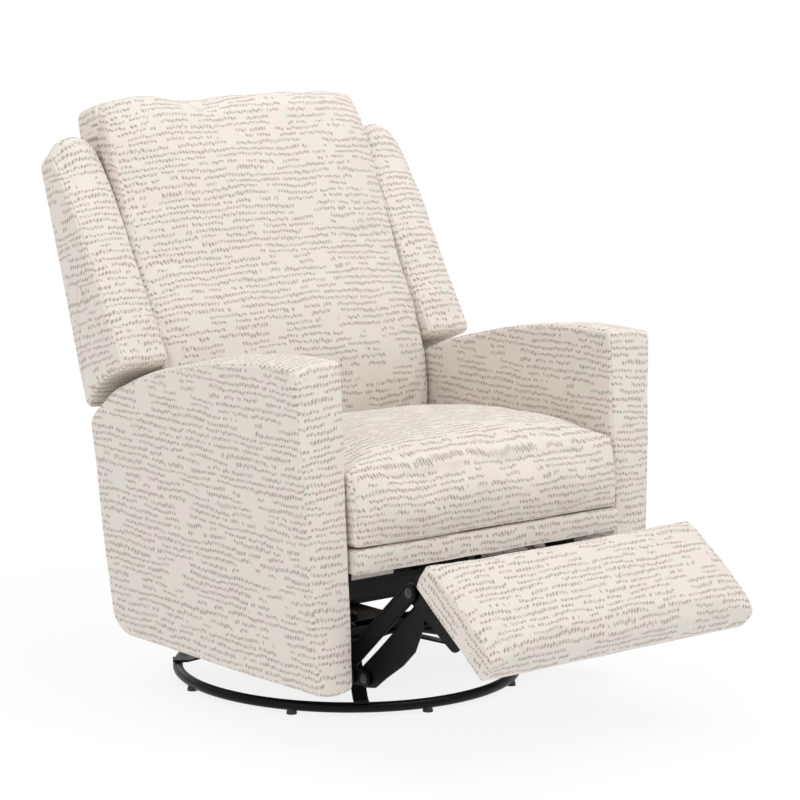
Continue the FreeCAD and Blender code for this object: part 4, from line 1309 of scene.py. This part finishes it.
class BoltTree(Tree):
    """Hexagon heads on washers, in a row at each side of the chair."""

    def __init__(self) -> None:
        """Builds the tree with its named inputs."""
        super().__init__(bpy.data.node_groups.new("bolt_rows", "GeometryNodeTree"))
        self.tree.interface.new_socket("Geometry", in_out="OUTPUT", socket_type="NodeSocketGeometry")
        vector, number = "NodeSocketVector", "NodeSocketFloat"
        kinds = {
            "Start": vector, "End": vector, "Count": "NodeSocketInt", "Turn": vector, "Head Radius": number,
            "Head Height": number, "Finish": "NodeSocketMaterial",
        }
        for name, kind in kinds.items():
            self.tree.interface.new_socket(name, in_out="INPUT", socket_type=kind)
        given = self.node("NodeGroupInput").outputs
        heads = self.node("GeometryNodeInstanceOnPoints", {}, {
            "Points": self._joined([self._line(given, 1.0), self._line(given, -1.0)]),
            "Instance": self._head(given), "Rotation": given["Turn"],
        }).outputs[0]
        solid = self.node("GeometryNodeRealizeInstances", {}, {0: heads}).outputs[0]
        dressed = {"Geometry": solid, "Material": given["Finish"]}
        done = self.node("GeometryNodeSetMaterial", {}, dressed).outputs[0]
        self.node("NodeGroupOutput", {}, {0: done})

    def _joined(self, parts: list[bpy.types.NodeSocket]) -> bpy.types.NodeSocket:
        """Several geometries as one."""
        return self.node("GeometryNodeJoinGeometry", {}, {0: parts}).outputs[0]

    def _line(self, given: bpy.types.NodeOutputs, side: float) -> bpy.types.NodeSocket:
        """The row's points at one side of the chair.

        Args:
            given: The tree's inputs.
            side: 1 as given, -1 mirrored.

        Returns:
            The points.
        """
        times, mirror = {"operation": "MULTIPLY"}, (side, 1, 1)
        ends = [
            self.node("ShaderNodeVectorMath", times, {0: given[name], 1: mirror}).outputs[0]
            for name in ("Start", "End")
        ]
        inputs = {"Count": given["Count"], "Start Location": ends[0], "Offset": ends[1]}
        return self.node("GeometryNodeMeshLine", {"mode": "END_POINTS"}, inputs).outputs[0]

    def _head(self, given: bpy.types.NodeOutputs) -> bpy.types.NodeSocket:
        """One head on its washer, standing on the origin."""
        radius, height = (Field(self, given[k]) for k in ("Head Radius", "Head Height"))
        washer = self._disc(36, radius * 1.6, height * 0.3, height * 0.15)
        return self._joined([washer, self._disc(6, radius, height, height * 0.75)])

    def _disc(self, sides: int, radius: Field, height: Field, middle: Field) -> bpy.types.NodeSocket:
        """A round or hexagonal disc.

        Args:
            sides: Its number of sides.
            radius: Its radius.
            height: Its height.
            middle: How high its middle is.

        Returns:
            The disc.
        """
        inputs = {"Vertices": sides, "Radius": radius, "Depth": height}
        disc = self.node("GeometryNodeMeshCylinder", {}, inputs).outputs["Mesh"]
        placed = {"Geometry": disc, "Translation": self.join(0.0, 0.0, middle)}
        return self.node("GeometryNodeTransform", {}, placed).outputs[0]

    def fill(self, modifier: bpy.types.Modifier, values: dict) -> None:
        """Sets a modifier's inputs by their identifiers.

        Args:
            modifier: The modifier.
            values: The values by the inputs' names.
        """
        for item in self.tree.interface.items_tree:
            if item.in_out == "INPUT":
                modifier[item.identifier] = values[item.name]


@dataclass
class Bolts:
    """The bolts under the footrest's brackets and through the swivel plate."""

    radius: float = 0.0055
    height: float = 0.0038

    def row(self, shop: Workshop, tree: BoltTree, name: str, body: str, values: dict) -> None:
        """Makes one pair of rows.

        Args:
            shop: The workshop.
            tree: The tree.
            name: The piece's name.
            body: The body that it rides on.
            values: Start, End, Count and Turn of the row.
        """
        made = mesh_object(name, np.zeros((0, 3)), [])
        modifier = made.modifiers.new("rows", "NODES")
        modifier.node_group = tree.tree
        sizes = {"Head Radius": self.radius, "Head Height": self.height, "Finish": shop.finishes[Slot.ZINC]}
        tree.fill(modifier, values | sizes)
        applied(made)
        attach(made, body)
        LOG.info("%s: %d faces on %s", name, len(made.data.polygons), body)

    def build(self, shop: Workshop) -> None:
        """Makes every row.

        Args:
            shop: The workshop.
        """
        tree = BoltTree()
        reach, drop, side = (0.035, 0.135), -0.0536, 0.250
        ends = PAD_SIDE.place(np.array(reach), np.full(2, drop), np.full(2, side))
        self.row(shop, tree, "footrest_bolts", "footrest", {
            "Start": tuple(ends[0]), "End": tuple(ends[1]), "Count": 3,
            "Turn": (math.pi + PAD_SLOPE, 0.0, 0.0),
        })
        low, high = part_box("glide_beams")
        out, along = 0.070, 0.095
        self.row(shop, tree, "turntable_bolts", "turntable", {
            "Start": (out, -along, high.z), "End": (out, along, high.z), "Count": 2,
            "Turn": (0.0, 0.0, 0.0),
        })


# Light and camera

@dataclass
class Studio:
    """A white room with soft light, and the camera of the photograph."""

    eye: tuple[float, float, float] = (-3.17657, -3.85826, 1.30109 - FLOOR_Z)
    right: tuple[float, float, float] = (0.76127, -0.64838, 0.00862)
    up: tuple[float, float, float] = (0.09575, 0.12555, 0.98746)
    ahead: tuple[float, float, float] = (0.64133, 0.75089, -0.15766)
    focal: float = 2863.72
    picture: float = 800.0
    sensor: float = 36.0

    def camera(self) -> None:
        """Adds the camera at the photograph's place."""
        data = bpy.data.cameras.new("camera")
        data.sensor_width = self.sensor
        data.lens = self.focal * self.sensor / self.picture
        data.clip_end = 200.0
        made = bpy.data.objects.new("camera", data)
        turn = Matrix((self.right, self.up, tuple(-c for c in self.ahead))).transposed()
        made.matrix_world = Matrix.Translation(self.eye) @ turn.to_4x4()
        bpy.context.scene.collection.objects.link(made)
        bpy.context.scene.camera = made

    def lamp(self, name: str, place: tuple, aim: tuple, size: float, power: float) -> None:
        """Adds a square soft light.

        Args:
            name: Its name.
            place: Where it hangs.
            aim: What it points at.
            size: Its side.
            power: Its power in watts.
        """
        data = bpy.data.lights.new(name, "AREA")
        data.shape = "SQUARE"
        data.size = size
        data.energy = power
        made = bpy.data.objects.new(name, data)
        made.location = place
        made.rotation_euler = (Vector(aim) - Vector(place)).to_track_quat("-Z", "Y").to_euler()
        bpy.context.scene.collection.objects.link(made)

    def world(self) -> None:
        """Makes the surroundings white where they are seen, and softer as light."""
        world = bpy.data.worlds.new("room")
        world.use_nodes = True
        bpy.context.scene.world = world
        tree = world.node_tree
        tree.nodes.clear()
        path = tree.nodes.new("ShaderNodeLightPath")
        seen = tree.nodes.new("ShaderNodeMath")
        seen.operation = "MAXIMUM"
        tree.links.new(path.outputs["Is Camera Ray"], seen.inputs[0])
        tree.links.new(path.outputs["Is Transmission Ray"], seen.inputs[1])
        soft = tree.nodes.new("ShaderNodeBackground")
        soft.inputs["Color"].default_value = (1.0, 0.995, 0.985, 1.0)
        soft.inputs["Strength"].default_value = 0.64
        white = tree.nodes.new("ShaderNodeBackground")
        white.inputs["Strength"].default_value = 1.0
        mixed = tree.nodes.new("ShaderNodeMixShader")
        tree.links.new(seen.outputs[0], mixed.inputs[0])
        tree.links.new(soft.outputs[0], mixed.inputs[1])
        tree.links.new(white.outputs[0], mixed.inputs[2])
        out = tree.nodes.new("ShaderNodeOutputWorld")
        tree.links.new(mixed.outputs[0], out.inputs["Surface"])

    def floor(self) -> None:
        """Lays a floor that keeps the chair's shadow near it and is white further out."""
        side = 90.0
        corners = np.array([(-side, -side, 0), (side, -side, 0), (side, side, 0), (-side, side, 0)])
        made = mesh_object("floor", corners, [(0, 1, 2, 3)])
        sh = Shader("studio_floor")
        x, y, _ = sh.split(sh.place())
        away = (x * x + y * y).ease(0.25, 2.4, 0.84, 1.0)
        ground = sh.node("ShaderNodeBsdfDiffuse", {}, {"Color": rgb(0.96, 0.96, 0.96)}).outputs[0]
        plain = sh.node("ShaderNodeEmission", {}, {"Color": rgb(1, 1, 1), "Strength": 1.0}).outputs[0]
        mixed = sh.node("ShaderNodeMixShader", {}, {0: away, 1: ground, 2: plain}).outputs[0]
        made.data.materials.append(sh.close(mixed))

    def build(self) -> None:
        """Sets up the room."""
        self.camera()
        self.world()
        self.floor()
        self.lamp("key", (0.9, -2.6, 4.2), (0, 0, 0.4), 2.6, 69.0)
        self.lamp("left", (-3.6, -1.6, 2.4), (0, 0, 0.5), 2.4, 26.0)
        self.lamp("overhead", (0.2, 0.4, 3.8), (0, 0, 0.4), 2.8, 29.0)
        self.lamp("rear", (0.6, 3.6, 2.4), (0, 0, 0.6), 2.4, 24.0)
        bpy.context.scene.view_settings.view_transform = "Standard"


def main() -> None:
    """Builds the whole scene and reports each piece."""
    logging.basicConfig(level=logging.INFO, format="%(message)s")
    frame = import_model()
    Studio().build()
    shop = Workshop(frame, {slot: finish.material() for slot, finish in FINISHES.items()})
    Hardware().build(shop)
    Bolts().build(shop)
    Arms().build(shop)
    SeatCover().build(shop)
    Footrest().build(shop)
    BackCover().build(shop)


if __name__ == "__main__":
    main()
